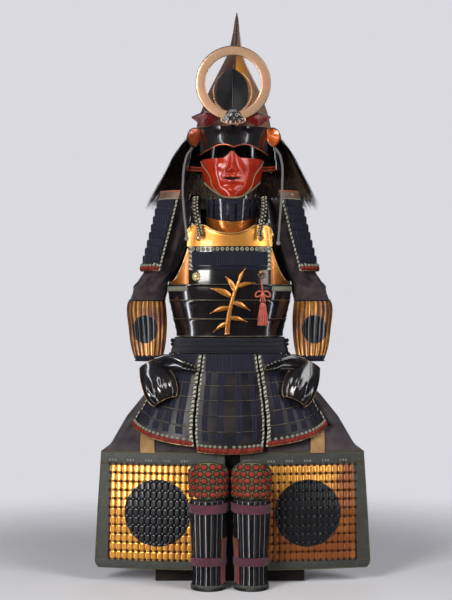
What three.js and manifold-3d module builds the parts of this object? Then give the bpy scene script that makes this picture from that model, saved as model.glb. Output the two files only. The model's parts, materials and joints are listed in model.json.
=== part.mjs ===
// A Japanese suit of armour (tosei gusoku) on its storage chest: tall helmet, face mask,
// cuirass, skirt, sleeves, thigh and shin guards. Millimetres, +Z up, the front faces -Y.
// The origin lies on the floor, at the middle of the armour.
import * as THREE from "three";
import { mergeVertices } from "three/addons/utils/BufferGeometryUtils.js";
import Module from "manifold-3d";

const { clamp, degToRad, lerp } = THREE.MathUtils;
const wasm = await Module();
wasm.setup();

// ---------- Driving sizes ----------
const SEAM_GAP = 0.3;
const PLATE = 2; // a lacquered iron plate
const LAME = 3; // a laced lame with its leather edge
const CLOTH = 2; // hemp and brocade, two layers sewn together
const HEAD_X = 12; // the helmet sits a little to the wearer's left
const HEAD_Y = 5;
const WAIST = 704; // the lower edge of the cuirass
const ARMHOLE = 858; // the lowest point of the armholes
const CHEST_LINE = 969; // where the lacing ends and the gold chest plate starts
const CHEST_HALF_WIDTH = 120;
const SHOULDER = 1112;
const SKIRT_TOP = 655;
const LEG_X = 60; // each shin guard's middle
const APRON_X = 8; // the thigh guards hang about this line
const STAND_TOP = 365;

// The cuirass: a row for each height, as half sizes of a rounded oval.
const TORSO = {
  roundness: 2.4,
  rows: [
    { z: 640, halfWidth: 165, halfDepth: 126 },
    { z: 704, halfWidth: 158, halfDepth: 119 },
    { z: 757, halfWidth: 168, halfDepth: 126 },
    { z: 812, halfWidth: 180, halfDepth: 132 },
    { z: 850, halfWidth: 184, halfDepth: 135 },
    { z: 914, halfWidth: 181, halfDepth: 134 },
    { z: 969, halfWidth: 172, halfDepth: 126 },
    { z: 1031, halfWidth: 158, halfDepth: 112 },
    { z: 1090, halfWidth: 142, halfDepth: 96 },
  ],
};

// The sash, wound closely over the lower edge of the cuirass.
const SASH = {
  roundness: 2.4,
  rows: [
    { z: 656, halfWidth: 176, halfDepth: 133 },
    { z: 676, halfWidth: 170, halfDepth: 130 },
    { z: 701, halfWidth: 164, halfDepth: 125 },
  ],
};

// The skirt flares in front over the thigh guards, and hangs more steeply behind.
const SKIRT_FRONT = {
  roundness: 2.5,
  rows: [
    { z: 374, halfWidth: 364, halfDepth: 228 },
    { z: 447, halfWidth: 326, halfDepth: 204 },
    { z: 530, halfWidth: 262, halfDepth: 176 },
    { z: 600, halfWidth: 212, halfDepth: 153 },
    { z: 655, halfWidth: 176, halfDepth: 134 },
  ],
};
const SKIRT_BACK = {
  roundness: 2.2,
  rows: [
    { z: 380, halfWidth: 268, halfDepth: 212 },
    { z: 500, halfWidth: 228, halfDepth: 178 },
    { z: 600, halfWidth: 194, halfDepth: 149 },
    { z: 655, halfWidth: 176, halfDepth: 134 },
  ],
};

// The seven tassets by the angle from the front at each corner, and by their lower edge.
const TASSETS = [
  { name: "tasset_front", form: SKIRT_FRONT, top: [-20, 20], foot: [-10.5, 10.5], low: [378, 378] },
  { name: "tasset_front_left", form: SKIRT_FRONT, top: [-66, -21.5], foot: [-57.5, -12.2], low: [447, 392] },
  { name: "tasset_front_right", form: SKIRT_FRONT, top: [21.5, 66], foot: [12.2, 57.5], low: [392, 447] },
  { name: "tasset_side_left", form: SKIRT_BACK, top: [-120, -73], foot: [-122, -82], low: [398, 402] },
  { name: "tasset_side_right", form: SKIRT_BACK, top: [73, 120], foot: [82, 122], low: [402, 398] },
  { name: "tasset_back_left", form: SKIRT_BACK, top: [-179.3, -122], foot: [-178.5, -125], low: [396, 398] },
  { name: "tasset_back_right", form: SKIRT_BACK, top: [122, 179.3], foot: [125, 178.5], low: [398, 396] },
];

// The right sleeve; the left one is its mirror image. Its middle wanders with the bent arm, and
// the cloth is in two lengths that meet at the elbow.
const ELBOW = 850;
const SLEEVE = {
  roundness: 2.1,
  rows: [
    { z: 640, x: 238, y: -84, halfWidth: 38, halfDepth: 36 },
    { z: 670, x: 240, y: -68, halfWidth: 42, halfDepth: 42 },
    { z: 735, x: 243, y: -36, halfWidth: 48, halfDepth: 50 },
    { z: 797, x: 248, y: -8, halfWidth: 52, halfDepth: 56 },
    { z: 835, x: 243, y: 4, halfWidth: 48, halfDepth: 54 },
    { z: 866, x: 234, y: 8, halfWidth: 43, halfDepth: 52 },
    { z: 900, x: 210, y: 10, halfWidth: 43, halfDepth: 54 },
    { z: 960, x: 188, y: 12, halfWidth: 46, halfDepth: 58 },
    { z: 1030, x: 164, y: 14, halfWidth: 48, halfDepth: 60 },
    { z: SHOULDER, x: 148, y: 14, halfWidth: 38, halfDepth: 56 },
  ],
};

// The right shoulder guard, bent round the upper arm and swung out at its foot.
const SHOULDER_GUARD = {
  roundness: 2,
  rows: [
    { z: 898, x: 186, y: 4, halfWidth: 80, halfDepth: 88 },
    { z: 1020, x: 154, y: 4, halfWidth: 80, halfDepth: 86 },
    { z: 1134, x: 126, y: 4, halfWidth: 80, halfDepth: 84 },
  ],
};

// The neck guard and the hair about the helmet's own middle.
const NECK_GUARD = {
  roundness: 2,
  rows: [
    { z: 1200, x: HEAD_X - 4, y: 14, halfWidth: 138, halfDepth: 166 },
    { z: 1260, x: HEAD_X - 2, y: 10, halfWidth: 128, halfDepth: 146 },
    { z: 1312, x: HEAD_X, y: HEAD_Y, halfWidth: 117, halfDepth: 127 },
  ],
};
const HAIR = {
  roundness: 2,
  rows: [
    { z: 1078, x: HEAD_X - 4, y: 30, halfWidth: 276, halfDepth: 222 },
    { z: 1140, x: HEAD_X - 2, y: 24, halfWidth: 240, halfDepth: 208 },
    { z: 1190, x: HEAD_X, y: 18, halfWidth: 211, halfDepth: 198 },
    { z: 1250, x: HEAD_X, y: 12, halfWidth: 180, halfDepth: 184 },
    { z: 1300, x: HEAD_X, y: HEAD_Y, halfWidth: 142, halfDepth: 152 },
    { z: 1314, x: HEAD_X, y: HEAD_Y, halfWidth: 134, halfDepth: 143 },
  ],
};

// The helmet bowl: an upright cap, sharp in front, leaning back to a point.
const BOWL = [
  { z: 1318, x: 12, halfWidth: 113, front: -119, back: 129 },
  { z: 1345, x: 12, halfWidth: 109, front: -117, back: 133 },
  { z: 1374, x: 13, halfWidth: 101, front: -112, back: 137 },
  { z: 1410, x: 14, halfWidth: 88, front: -102, back: 142 },
  { z: 1443, x: 14, halfWidth: 76, front: -90, back: 146 },
  { z: 1487, x: 15, halfWidth: 56, front: -68, back: 149 },
  { z: 1535, x: 16, halfWidth: 34, front: -38, back: 148 },
  { z: 1574, x: 19, halfWidth: 21, front: -8, back: 140 },
  { z: 1630, x: 21, halfWidth: 11, front: 36, back: 118 },
  { z: 1672, x: 22, halfWidth: 5, front: 66, back: 92 },
];
const BOWL_FRONT_POWER = 1.45; // under 2 gives the front its ridge
const BOWL_BACK_POWER = 2.1;

// The mask: half width and front by height, about the ears' line at MASK_Y. Its face is a
// plain one of general proportions: each feature is a soft rise with its own reach.
const MASK_X = 7;
const MASK_Y = -38;
const MASK_SWEEP = 82; // degrees to each side
const MASK_TOP = 1226;
const MASK_BRIDGE = 20; // how far the top rises over the nose
const MASK = [
  { z: 1110, halfWidth: 46, front: 92 },
  { z: 1124, halfWidth: 62, front: 99 },
  { z: 1142, halfWidth: 75, front: 101 },
  { z: 1170, halfWidth: 86, front: 101 },
  { z: 1200, halfWidth: 92, front: 98 },
  { z: 1232, halfWidth: 93, front: 94 },
];
const MASK_FEATURES = [
  { part: "nose tip", rise: 20, side: 0, z: 1192, reach: 15, height: 13 },
  { part: "nose bridge", rise: 12, side: 0, z: 1220, reach: 12, height: 24 },
  { part: "lips", rise: 5, side: 0, z: 1166, reach: 33, height: 11 },
  { part: "cheek", rise: 5, side: 46, z: 1205, reach: 20, height: 17 },
  { part: "chin", rise: 4, side: 0, z: 1130, reach: 26, height: 13 },
];

// The right hand guard from the wrist to the finger ends.
const HAND = [
  { x: 236, y: -132, z: 632, halfWidth: 36, rise: 16 },
  { x: 227, y: -150, z: 606, halfWidth: 45, rise: 24 },
  { x: 212, y: -168, z: 574, halfWidth: 51, rise: 30 },
  { x: 199, y: -180, z: 543, halfWidth: 46, rise: 28 },
  { x: 191, y: -182, z: 524, halfWidth: 34, rise: 20 },
];
const THUMB = [
  { x: 214, y: -148, z: 628, halfWidth: 20, rise: 14 },
  { x: 176, y: -164, z: 634, halfWidth: 22, rise: 14 },
  { x: 136, y: -176, z: 626, halfWidth: 18, rise: 11 },
  { x: 102, y: -180, z: 616, halfWidth: 10, rise: 7 },
];

// A thigh guard: the cloth fans out from the waist into a broad apron.
const APRON = [
  { z: 38, inner: 23, outer: 394, innerY: -212, outerY: -152 },
  { z: 58, inner: 22, outer: 399, innerY: -212, outerY: -152 },
  { z: 210, inner: 22, outer: 391, innerY: -212, outerY: -150 },
  { z: 374, inner: 22, outer: 382, innerY: -206, outerY: -134 },
  { z: 392, inner: 21, outer: 356, innerY: -196, outerY: -116 },
  { z: 470, inner: 18, outer: 312, innerY: -150, outerY: -72 },
  { z: 532, inner: 16, outer: 262, innerY: -126, outerY: -52 },
  { z: 598, inner: 14, outer: 196, innerY: -112, outerY: -58 },
  { z: 640, inner: 12, outer: 146, innerY: -104, outerY: -62 },
];
const SCALES = { inner: 46, outer: 356, low: 66, high: 338 };

// A shin guard and its knee piece about the leg's own line.
const SHIN = {
  roundness: 2,
  rows: [
    { z: 0, halfWidth: 46, halfDepth: 50, y: -278 },
    { z: 26, halfWidth: 42, halfDepth: 47, y: -278 },
    { z: 70, halfWidth: 42, halfDepth: 48, y: -278 },
    { z: 160, halfWidth: 47, halfDepth: 56, y: -274 },
    { z: 256, halfWidth: 50, halfDepth: 58, y: -272 },
  ],
};
const KNEE = {
  roundness: 2.2,
  rows: [
    { z: 256, halfWidth: 52, halfDepth: 60, y: -272 },
    { z: 320, halfWidth: 54, halfDepth: 64, y: -272 },
    { z: 368, halfWidth: 50, halfDepth: 60, y: -272 },
  ],
};

// ---------- Making solids ----------

// A table's row at a value of one column, straight between its rows.
function rowAt(table, column, value) {
  const found = table.findIndex((row) => row[column] >= value);
  const upper = clamp(found < 0 ? table.length - 1 : found, 1, table.length - 1);
  const [low, high] = [table[upper - 1], table[upper]];
  const share = clamp((value - low[column]) / (high[column] - low[column]), 0, 1);
  const keys = Object.keys(low);
  return Object.fromEntries(keys.map((key) => [key, lerp(low[key], high[key], share)]));
}

// A table's row at a share of its length, on a smooth curve through its rows.
function rowAlong(table, share) {
  const last = table.length - 1;
  const place = clamp(share, 0, 1) * last;
  const index = Math.min(Math.floor(place), last - 1);
  const near = [-1, 0, 1, 2].map((step) => table[clamp(index + step, 0, last)]);
  const [before, low, high, after] = near;
  const t = place - index;
  const smooth = (key) => {
    const leave = (high[key] - before[key]) / 2;
    const arrive = (after[key] - low[key]) / 2;
    const rise = high[key] - low[key];
    const bend = 3 * rise - 2 * leave - arrive;
    const turn = leave + arrive - 2 * rise;
    return low[key] + t * (leave + t * (bend + t * turn));
  };
  return Object.fromEntries(Object.keys(low).map((key) => [key, smooth(key)]));
}

function signedPower(value, power) {
  return Math.sign(value) * Math.abs(value) ** power;
}

// A point of an oval form: angle in degrees from the front, positive to +X.
function formPoint(form, angle, z, proud = 0) {
  const row = rowAt(form.rows, "z", z);
  const power = 2 / form.roundness;
  const x = row.halfWidth * signedPower(Math.sin(degToRad(angle)), power);
  const y = -row.halfDepth * signedPower(Math.cos(degToRad(angle)), power);
  const moved = 1 + proud / Math.hypot(x, y);
  return new THREE.Vector3((row.x ?? 0) + x * moved, (row.y ?? 0) + y * moved, z);
}

// The angle at which an oval form reaches this far to the side.
function angleAtSide(form, x, z) {
  const { halfWidth } = rowAt(form.rows, "z", z);
  const sine = signedPower(clamp(x / halfWidth, -1, 1), form.roundness / 2);
  return THREE.MathUtils.radToDeg(Math.asin(sine));
}

// A closed wall behind a surface. surface(u, v) gives its outside, with u to the right and
// v up as seen from outside; closed joins u = 1 to u = 0, and level keeps its edges level.
function wall(surface, columns, rows, thickness, { closed = false, level = false } = {}) {
  const across = closed ? columns : columns + 1;
  const reach = 0.002;
  const low = (value) => (closed ? value : Math.max(value, 0));
  const high = (value) => (closed ? value : Math.min(value, 1));
  const outer = [];
  const inner = [];
  for (let row = 0; row <= rows; row += 1) {
    for (let column = 0; column < across; column += 1) {
      const u = column / columns;
      const v = row / rows;
      const point = surface(u, v);
      const sideways = surface(high(u + reach), v).sub(surface(low(u - reach), v));
      const upwards = surface(u, Math.min(v + reach, 1)).sub(surface(u, Math.max(v - reach, 0)));
      const outward = sideways.cross(upwards);
      if (level) {
        outward.z = 0;
      }
      outward.normalize();
      outer.push(point);
      inner.push(point.clone().addScaledVector(outward, -thickness));
    }
  }
  const faces = [];
  const quad = (a, b, c, d) => faces.push(a, b, c, a, c, d);
  const back = outer.length;
  const at = (column, row) => row * across + (column % across);
  for (let row = 0; row < rows; row += 1) {
    for (let column = 0; column < columns; column += 1) {
      const corners = [at(column, row), at(column + 1, row)];
      corners.push(at(column + 1, row + 1), at(column, row + 1));
      quad(...corners);
      quad(...corners.reverse().map((corner) => corner + back));
    }
  }
  for (let column = 0; column < columns; column += 1) {
    const foot = [at(column, 0), at(column + 1, 0)];
    const head = [at(column, rows), at(column + 1, rows)];
    quad(foot[0], foot[0] + back, foot[1] + back, foot[1]);
    quad(head[0], head[1], head[1] + back, head[0] + back);
  }
  for (let row = 0; row < rows && !closed; row += 1) {
    const left = [at(0, row), at(0, row + 1)];
    const right = [at(columns, row), at(columns, row + 1)];
    quad(left[0], left[1], left[1] + back, left[0] + back);
    quad(right[0], right[0] + back, right[1] + back, right[1]);
  }
  return geometryOf([...outer, ...inner], faces);
}

function geometryOf(points, faces) {
  const geometry = new THREE.BufferGeometry().setFromPoints(points);
  geometry.setIndex(faces);
  return geometry;
}

// A wall on an oval form, between two angles and two heights. Each of the four limits may
// change with the other direction, as a function.
function formWall(form, limits, columns, rows, thickness) {
  const value = (limit, other) => (typeof limit === "function" ? limit(other) : limit);
  const surface = (u, v) => {
    const roughAngle = lerp(value(limits.from, 0.5), value(limits.to, 0.5), u);
    const z = lerp(value(limits.low, roughAngle), value(limits.high, roughAngle), v);
    const angle = lerp(value(limits.from, z), value(limits.to, z), u);
    return formPoint(form, angle, z, limits.proud ?? 0);
  };
  return wall(surface, columns, rows, thickness, { closed: limits.closed, level: true });
}

// The same mesh with shared corners merged, and nothing but positions.
function bareMesh(geometry) {
  const bare = geometry.clone();
  bare.deleteAttribute("normal");
  bare.deleteAttribute("uv");
  return mergeVertices(bare, 1e-4);
}

function mirrored(geometry, line = 0) {
  const copy = bareMesh(geometry);
  copy.applyMatrix4(new THREE.Matrix4().makeScale(-1, 1, 1));
  copy.translate(2 * line, 0, 0);
  const corners = copy.index.array;
  for (let i = 0; i < corners.length; i += 3) {
    [corners[i + 1], corners[i + 2]] = [corners[i + 2], corners[i + 1]];
  }
  return copy;
}

// A flat plate from an outline of [x, z] points, standing upright with its back at y = 0.
function plate(outline, thickness, hole) {
  const shape = new THREE.Shape(outline.map(([x, z]) => new THREE.Vector2(x, z)));
  if (hole) {
    shape.holes.push(new THREE.Path(hole.map(([x, z]) => new THREE.Vector2(x, z))));
  }
  const geometry = new THREE.ExtrudeGeometry(shape, { depth: thickness, bevelEnabled: false });
  return geometry.rotateX(Math.PI / 2);
}

function ovalOutline(centreX, centreZ, halfWidth, halfHeight, count) {
  const outline = [];
  for (let step = 0; step < count; step += 1) {
    const angle = (2 * Math.PI * step) / count;
    outline.push([centreX + halfWidth * Math.cos(angle), centreZ + halfHeight * Math.sin(angle)]);
  }
  return outline;
}

// Moves each vertex of a geometry by a rule on its position.
function shaped(geometry, rule) {
  const position = geometry.getAttribute("position");
  const point = new THREE.Vector3();
  for (let index = 0; index < position.count; index += 1) {
    rule(point.fromBufferAttribute(position, index));
    position.setXYZ(index, point.x, point.y, point.z);
  }
  return geometry;
}

// A round cord along a smooth line through its points.
function cord(points, diameter, steps, sides = 8) {
  const route = new THREE.CatmullRomCurve3(points.map((point) => new THREE.Vector3(...point)));
  const section = new THREE.Shape();
  for (let side = 0; side < sides; side += 1) {
    const angle = (2 * Math.PI * side) / sides;
    const corner = [(diameter / 2) * Math.cos(angle), (diameter / 2) * Math.sin(angle)];
    if (side === 0) {
      section.moveTo(...corner);
    } else {
      section.lineTo(...corner);
    }
  }
  return new THREE.ExtrudeGeometry(section, { steps, extrudePath: route, bevelEnabled: false });
}

function solidOf(geometry) {
  const merged = bareMesh(geometry);
  const vertProperties = new Float32Array(merged.getAttribute("position").array);
  const triVerts = new Uint32Array(merged.index.array);
  return new wasm.Manifold(new wasm.Mesh({ numProp: 3, vertProperties, triVerts }));
}

function geometryFromSolid(solid) {
  const mesh = solid.getMesh();
  const geometry = new THREE.BufferGeometry();
  geometry.setAttribute("position", new THREE.BufferAttribute(mesh.vertProperties, 3));
  geometry.setIndex(new THREE.BufferAttribute(mesh.triVerts, 1));
  return geometry;
}

function joined(...geometries) {
  const solids = geometries.map(solidOf);
  return geometryFromSolid(solids.reduce((whole, solid) => whole.add(solid)));
}

function block(width, depth, height, x, y, z) {
  return new THREE.BoxGeometry(width, depth, height).translate(x, y, z);
}

// ---------- Finishes ----------
const FINISH = {
  blackLacquer: { color: 0x101013, roughness: 0.25, metalness: 0 },
  goldLacquer: { color: 0xc98a2c, roughness: 0.35, metalness: 0.7 },
  copperLacquer: { color: 0x9a5a30, roughness: 0.35, metalness: 0.6 },
  paleCopper: { color: 0xc98f70, roughness: 0.4, metalness: 0.8 },
  redLacquer: { color: 0xb02a1e, roughness: 0.25, metalness: 0 },
  darkRed: { color: 0x5a1418, roughness: 0.3, metalness: 0 },
  navyLacing: { color: 0x23264a, roughness: 0.85, metalness: 0 },
  darkCloth: { color: 0x3a3238, roughness: 0.9, metalness: 0 },
  hair: { color: 0x241a14, roughness: 0.6, metalness: 0 },
  greyCord: { color: 0x8a8c92, roughness: 0.8, metalness: 0 },
  braid: { color: 0x8d7d55, roughness: 0.8, metalness: 0 },
  coralSilk: { color: 0xe0624e, roughness: 0.7, metalness: 0 },
  hexagonLeather: { color: 0x6f6a44, roughness: 0.8, metalness: 0 },
  wood: { color: 0x6b4a2e, roughness: 0.6, metalness: 0 },
};

const armour = new THREE.Group();

function addPiece(name, geometry, finish) {
  const mesh = new THREE.Mesh(geometry, new THREE.MeshStandardMaterial(finish));
  mesh.name = name;
  armour.add(mesh);
}

// Adds the right-hand piece as given and its mirror image on the left.
function addPair(name, geometry, finish, line = 0) {
  addPiece(`${name}_right`, geometry, finish);
  addPiece(`${name}_left`, mirrored(geometry, line), finish);
}

// ---------- Helmet ----------

// A ring of the bowl, drawn in by the plate's thickness for its inside.
function bowlRing(row, inset, count) {
  const halfDepth = (row.back - row.front) / 2;
  const middle = (row.back + row.front) / 2;
  const ring = [];
  for (let step = 0; step < count; step += 1) {
    const angle = (2 * Math.PI * step) / count;
    const power = 2 / (Math.cos(angle) > 0 ? BOWL_FRONT_POWER : BOWL_BACK_POWER);
    const x = (row.halfWidth - inset) * signedPower(Math.sin(angle), power);
    const y = -(halfDepth - inset * 2) * signedPower(Math.cos(angle), power);
    ring.push(new THREE.Vector3(row.x + x, middle + y, row.z));
  }
  return ring;
}

const BOWL_SIDES = 22;
const BOWL_WALL = 2.6; // measured level, so that the leaning plate keeps its thickness
const BOWL_TIP = new THREE.Vector3(22, 80, 1687);
const BOWL_INNER_TIP = { y: 66, rise: 8 }; // where the hollow ends, over its last row

function helmetBowl() {
  const count = BOWL_SIDES;
  const insideRows = BOWL.slice(0, -2); // the last two rows are solid
  const outside = BOWL.map((row) => bowlRing(row, 0, count));
  const inside = insideRows.map((row) => bowlRing(row, BOWL_WALL, count));
  const points = [...outside.flat(), ...inside.flat()];
  const faces = [];
  const stack = (start, rings, turned) => {
    for (let ring = 0; ring < rings - 1; ring += 1) {
      for (let step = 0; step < count; step += 1) {
        const a = start + ring * count + step;
        const b = start + ring * count + ((step + 1) % count);
        const [first, second] = turned ? [b, a] : [a, b];
        faces.push(first, second, second + count, first, second + count, first + count);
      }
    }
  };
  const innerStart = outside.length * count;
  stack(0, outside.length, false);
  stack(innerStart, inside.length, true);
  const outerTip = points.push(BOWL_TIP) - 1;
  const { x, z } = insideRows.at(-1);
  const innerTip = points.push(new THREE.Vector3(x, BOWL_INNER_TIP.y, z + BOWL_INNER_TIP.rise)) - 1;
  const topStart = (outside.length - 1) * count;
  const innerTopStart = innerStart + (inside.length - 1) * count;
  for (let step = 0; step < count; step += 1) {
    const next = (step + 1) % count;
    faces.push(topStart + step, topStart + next, outerTip);
    faces.push(innerTopStart + next, innerTopStart + step, innerTip);
    faces.push(step, innerStart + step, innerStart + next, step, innerStart + next, next);
  }
  return geometryOf(points, faces);
}

addPiece("helmet_bowl", helmetBowl(), FINISH.copperLacquer);

// The drop-shaped front panel stands off the bowl's ridge, folded along its own ridge.
const DROP = [
  { z: 1366, halfWidth: 26 },
  { z: 1382, halfWidth: 38 },
  { z: 1404, halfWidth: 46 },
  { z: 1430, halfWidth: 47 },
  { z: 1452, halfWidth: 43 },
  { z: 1470, halfWidth: 34 },
  { z: 1484, halfWidth: 21 },
  { z: 1491, halfWidth: 11 },
  { z: 1494, halfWidth: 3 },
];
const DROP_X = 8;
const DROP_FOLD = 0.42; // how far it falls back for each millimetre from its ridge
const DROP_STAND_OFF = 11;

function dropPoint(side, share, wider, forward) {
  const row = rowAlong(DROP, share);
  const x = side * (row.halfWidth + wider);
  const ridge = rowAt(BOWL, "z", row.z).front - DROP_STAND_OFF - forward;
  return new THREE.Vector3(DROP_X + x, ridge + Math.abs(x) * DROP_FOLD, row.z + wider * (share - 0.5));
}
const dropPanel = wall((u, v) => dropPoint(2 * u - 1, v, 0, 0), 8, 8, PLATE);

// The copper rim: a raised edge down each side of the drop.
const RIM_WIDTH = 8;
const RIM_DEPTH = 6;
function rimSide(side) {
  const surface = (u, v) => {
    const along = side > 0 ? v : 1 - v;
    const inside = dropPoint(side, along, -1, 3);
    return inside.lerp(dropPoint(side, along, RIM_WIDTH, 3), u);
  };
  return wall(surface, 1, 10, RIM_DEPTH);
}
addPiece("front_panel", joined(dropPanel, rimSide(1), rimSide(-1)), FINISH.blackLacquer);

// The ring crest and the ornament that holds its foot.
const RING = { x: 10, z: 1441, outer: 108, width: 26, y: -146 };
addPiece(
  "crest_ring",
  plate(
    ovalOutline(RING.x, RING.z, RING.outer, RING.outer, 36),
    2.5,
    ovalOutline(RING.x, RING.z, RING.outer - RING.width, RING.outer - RING.width, 36).reverse(),
  ).translate(0, RING.y, 0),
  FINISH.paleCopper,
);
const MOUNT_OUTLINE = [
  [-22, 1323], [42, 1323], [44, 1336], [36, 1346], [30, 1358], [18, 1366],
  [2, 1366], [-10, 1358], [-16, 1346], [-24, 1336],
];
const mountFace = plate(MOUNT_OUTLINE, 6).translate(0, RING.y - 2.5 - SEAM_GAP, 0);
const mountProng = block(22, 30, 8, RING.x, RING.y + 11, 1327.5);
addPiece("crest_mount", joined(mountFace, mountProng), FINISH.paleCopper);

// Two folded leaves spread from the crest's foot.
const LEAF = [
  { share: 0, x: 36, top: 1341, foot: 1337, y: -140 },
  { share: 0.35, x: 62, top: 1357, foot: 1322, y: -136 },
  { share: 0.6, x: 80, top: 1358, foot: 1318, y: -132 },
  { share: 1, x: 115, top: 1346, foot: 1343, y: -119 },
];
function leafPoint(u, v) {
  const row = rowAt(LEAF, "share", u);
  const belly = 10 * Math.sin(Math.PI * v) * Math.sin(Math.PI * Math.min(u + 0.1, 1));
  return new THREE.Vector3(row.x + 4, row.y - belly, lerp(row.foot, row.top, v));
}
addPair("leaf", wall(leafPoint, 6, 4, PLATE), FINISH.darkRed, 4);

// The peak: bent round the brow, with an arch over each eye and its corners drooping.
const PEAK = {
  sweep: 64, // degrees to each side
  foot: { z: 1256, halfWidth: 111, halfDepth: 158 },
  top: { z: 1322, halfWidth: 115, halfDepth: 126 },
  arch: 8,
  droop: 17,
};
function peakPoint(u, v) {
  const angle = degToRad(lerp(-PEAK.sweep, PEAK.sweep, u));
  const side = Math.sin(angle);
  const arch = PEAK.arch * Math.sin(Math.PI * clamp(Math.abs(side) / 0.6, 0, 1));
  const droop = PEAK.droop * Math.max(0, (Math.abs(side) - 0.5) / 0.4) ** 1.5;
  const halfWidth = lerp(PEAK.foot.halfWidth, PEAK.top.halfWidth, v);
  const halfDepth = lerp(PEAK.foot.halfDepth, PEAK.top.halfDepth, v ** 0.8);
  const z = lerp(PEAK.foot.z + arch - droop, PEAK.top.z, v);
  return new THREE.Vector3(HEAD_X + halfWidth * side, HEAD_Y - halfDepth * Math.cos(angle), z);
}
addPiece("peak", wall(peakPoint, 14, 3, PLATE), FINISH.blackLacquer);

addPiece(
  "neck_guard",
  formWall(NECK_GUARD, { from: 72, to: 288, low: 1200, high: 1312 }, 16, 4, LAME),
  FINISH.blackLacquer,
);

// The top lame's ends turn out beside the peak.
const TURNBACK = { start: 104, y: -66, bend: 70, reach: 34, depth: 26, low: 1266, high: 1322 };
function turnbackPoint(u, v) {
  const bend = degToRad(TURNBACK.bend * u);
  const x = HEAD_X + TURNBACK.start + TURNBACK.reach * Math.sin(bend) + 6 * v;
  const y = TURNBACK.y - TURNBACK.depth * (1 - Math.cos(bend)) - 10 * u;
  return new THREE.Vector3(x, y, lerp(TURNBACK.low + 6 * u, TURNBACK.high - 4 * u, v));
}
addPair("turnback", wall(turnbackPoint, 5, 2, PLATE), FINISH.copperLacquer, HEAD_X);

addPiece(
  "hair_fall",
  formWall(HAIR, { from: 86, to: 274, low: 1078, high: 1314 }, 18, 5, 14),
  FINISH.hair,
);

// The helmet cords hang free in front of the shoulders.
const HELMET_CORD_DIAMETER = 7;
const CORD_LEFT = [
  [-110, -58, 1262], [-117, -67, 1253], [-125, -77, 1241], [-130, -85, 1224], [-134, -92, 1204],
  [-136, -97, 1182], [-137, -100, 1160], [-138, -104, 1136], [-137, -108, 1111], [-135, -111, 1086],
  [-133, -114, 1061], [-130, -117, 1036], [-127, -119, 1011], [-126, -120, 997], [-126, -120, 985],
];
const CORD_RIGHT = [
  [134, -58, 1262], [141, -67, 1252], [148, -76, 1239], [152, -84, 1221], [155, -90, 1201],
  [155, -96, 1176], [154, -100, 1151], [153, -104, 1126], [151, -108, 1101], [149, -111, 1076],
  [147, -114, 1051], [145, -117, 1026], [143, -119, 1001], [142, -120, 986], [142, -120, 972],
];
addPiece("helmet_cord_left", cord(CORD_LEFT, HELMET_CORD_DIAMETER, 16), FINISH.greyCord);
addPiece("helmet_cord_right", cord(CORD_RIGHT, HELMET_CORD_DIAMETER, 16), FINISH.greyCord);

// ---------- Mask and throat guard ----------

// A soft rise: 1 at the middle, fading over the reach.
function swell(distance, reach) {
  return Math.exp(-((distance / reach) ** 2));
}

function maskPoint(u, v) {
  const angle = degToRad(lerp(-MASK_SWEEP, MASK_SWEEP, u));
  const side = Math.sin(angle);
  const jaw = 46 * side ** 4 + 6 * side ** 2; // the lower edge climbs towards the ears
  const foot = MASK[0].z + jaw;
  const top = MASK_TOP + MASK_BRIDGE * swell(side * MASK.at(-1).halfWidth, 17);
  const z = lerp(foot, top, v);
  const row = rowAt(MASK, "z", z);
  const x = row.halfWidth * side;
  const rises = MASK_FEATURES.map((feature) => {
    const across = swell(Math.abs(x) - feature.side, feature.reach);
    return feature.rise * across * swell(z - feature.z, feature.height);
  });
  const relief = rises.reduce((sum, rise) => sum + rise, 0);
  return new THREE.Vector3(MASK_X + x, MASK_Y - row.front * Math.cos(angle) - relief, z);
}
const MOUTH = { width: 52, height: 9, z: 1166 };
const mouth = block(MOUTH.width, 40, MOUTH.height, MASK_X, MASK_Y - 100, MOUTH.z);
const maskWall = solidOf(wall(maskPoint, 18, 12, PLATE));
addPiece("mask", geometryFromSolid(maskWall.subtract(solidOf(mouth))), FINISH.redLacquer);

// The throat guard hangs from the chin: laced lames, then a deep copper one.
const THROAT = {
  roundness: 2,
  rows: [
    { z: 1000, x: 5, y: -20, halfWidth: 68, halfDepth: 93 },
    { z: 1040, x: 6, y: -22, halfWidth: 74, halfDepth: 102 },
    { z: 1108, x: 7, y: -26, halfWidth: 75, halfDepth: 96 },
  ],
};
const throatFoot = (angle) => 1002 + 30 * Math.sin(degToRad(angle)) ** 2;
addPiece(
  "throat_guard",
  formWall(THROAT, { from: -80, to: 80, low: throatFoot, high: 1108 }, 10, 4, LAME),
  FINISH.navyLacing,
);

// ---------- Cuirass ----------

// The neckline and shoulders of the chest plate, by the distance from its middle.
const NECKLINE = [
  { side: 0, z: 1006 },
  { side: 30, z: 1010 },
  { side: 55, z: 1021 },
  { side: 68, z: 1030 },
  { side: 100, z: 1032 },
  { side: 116, z: 1022 },
  { side: 124, z: 996 },
];

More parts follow.
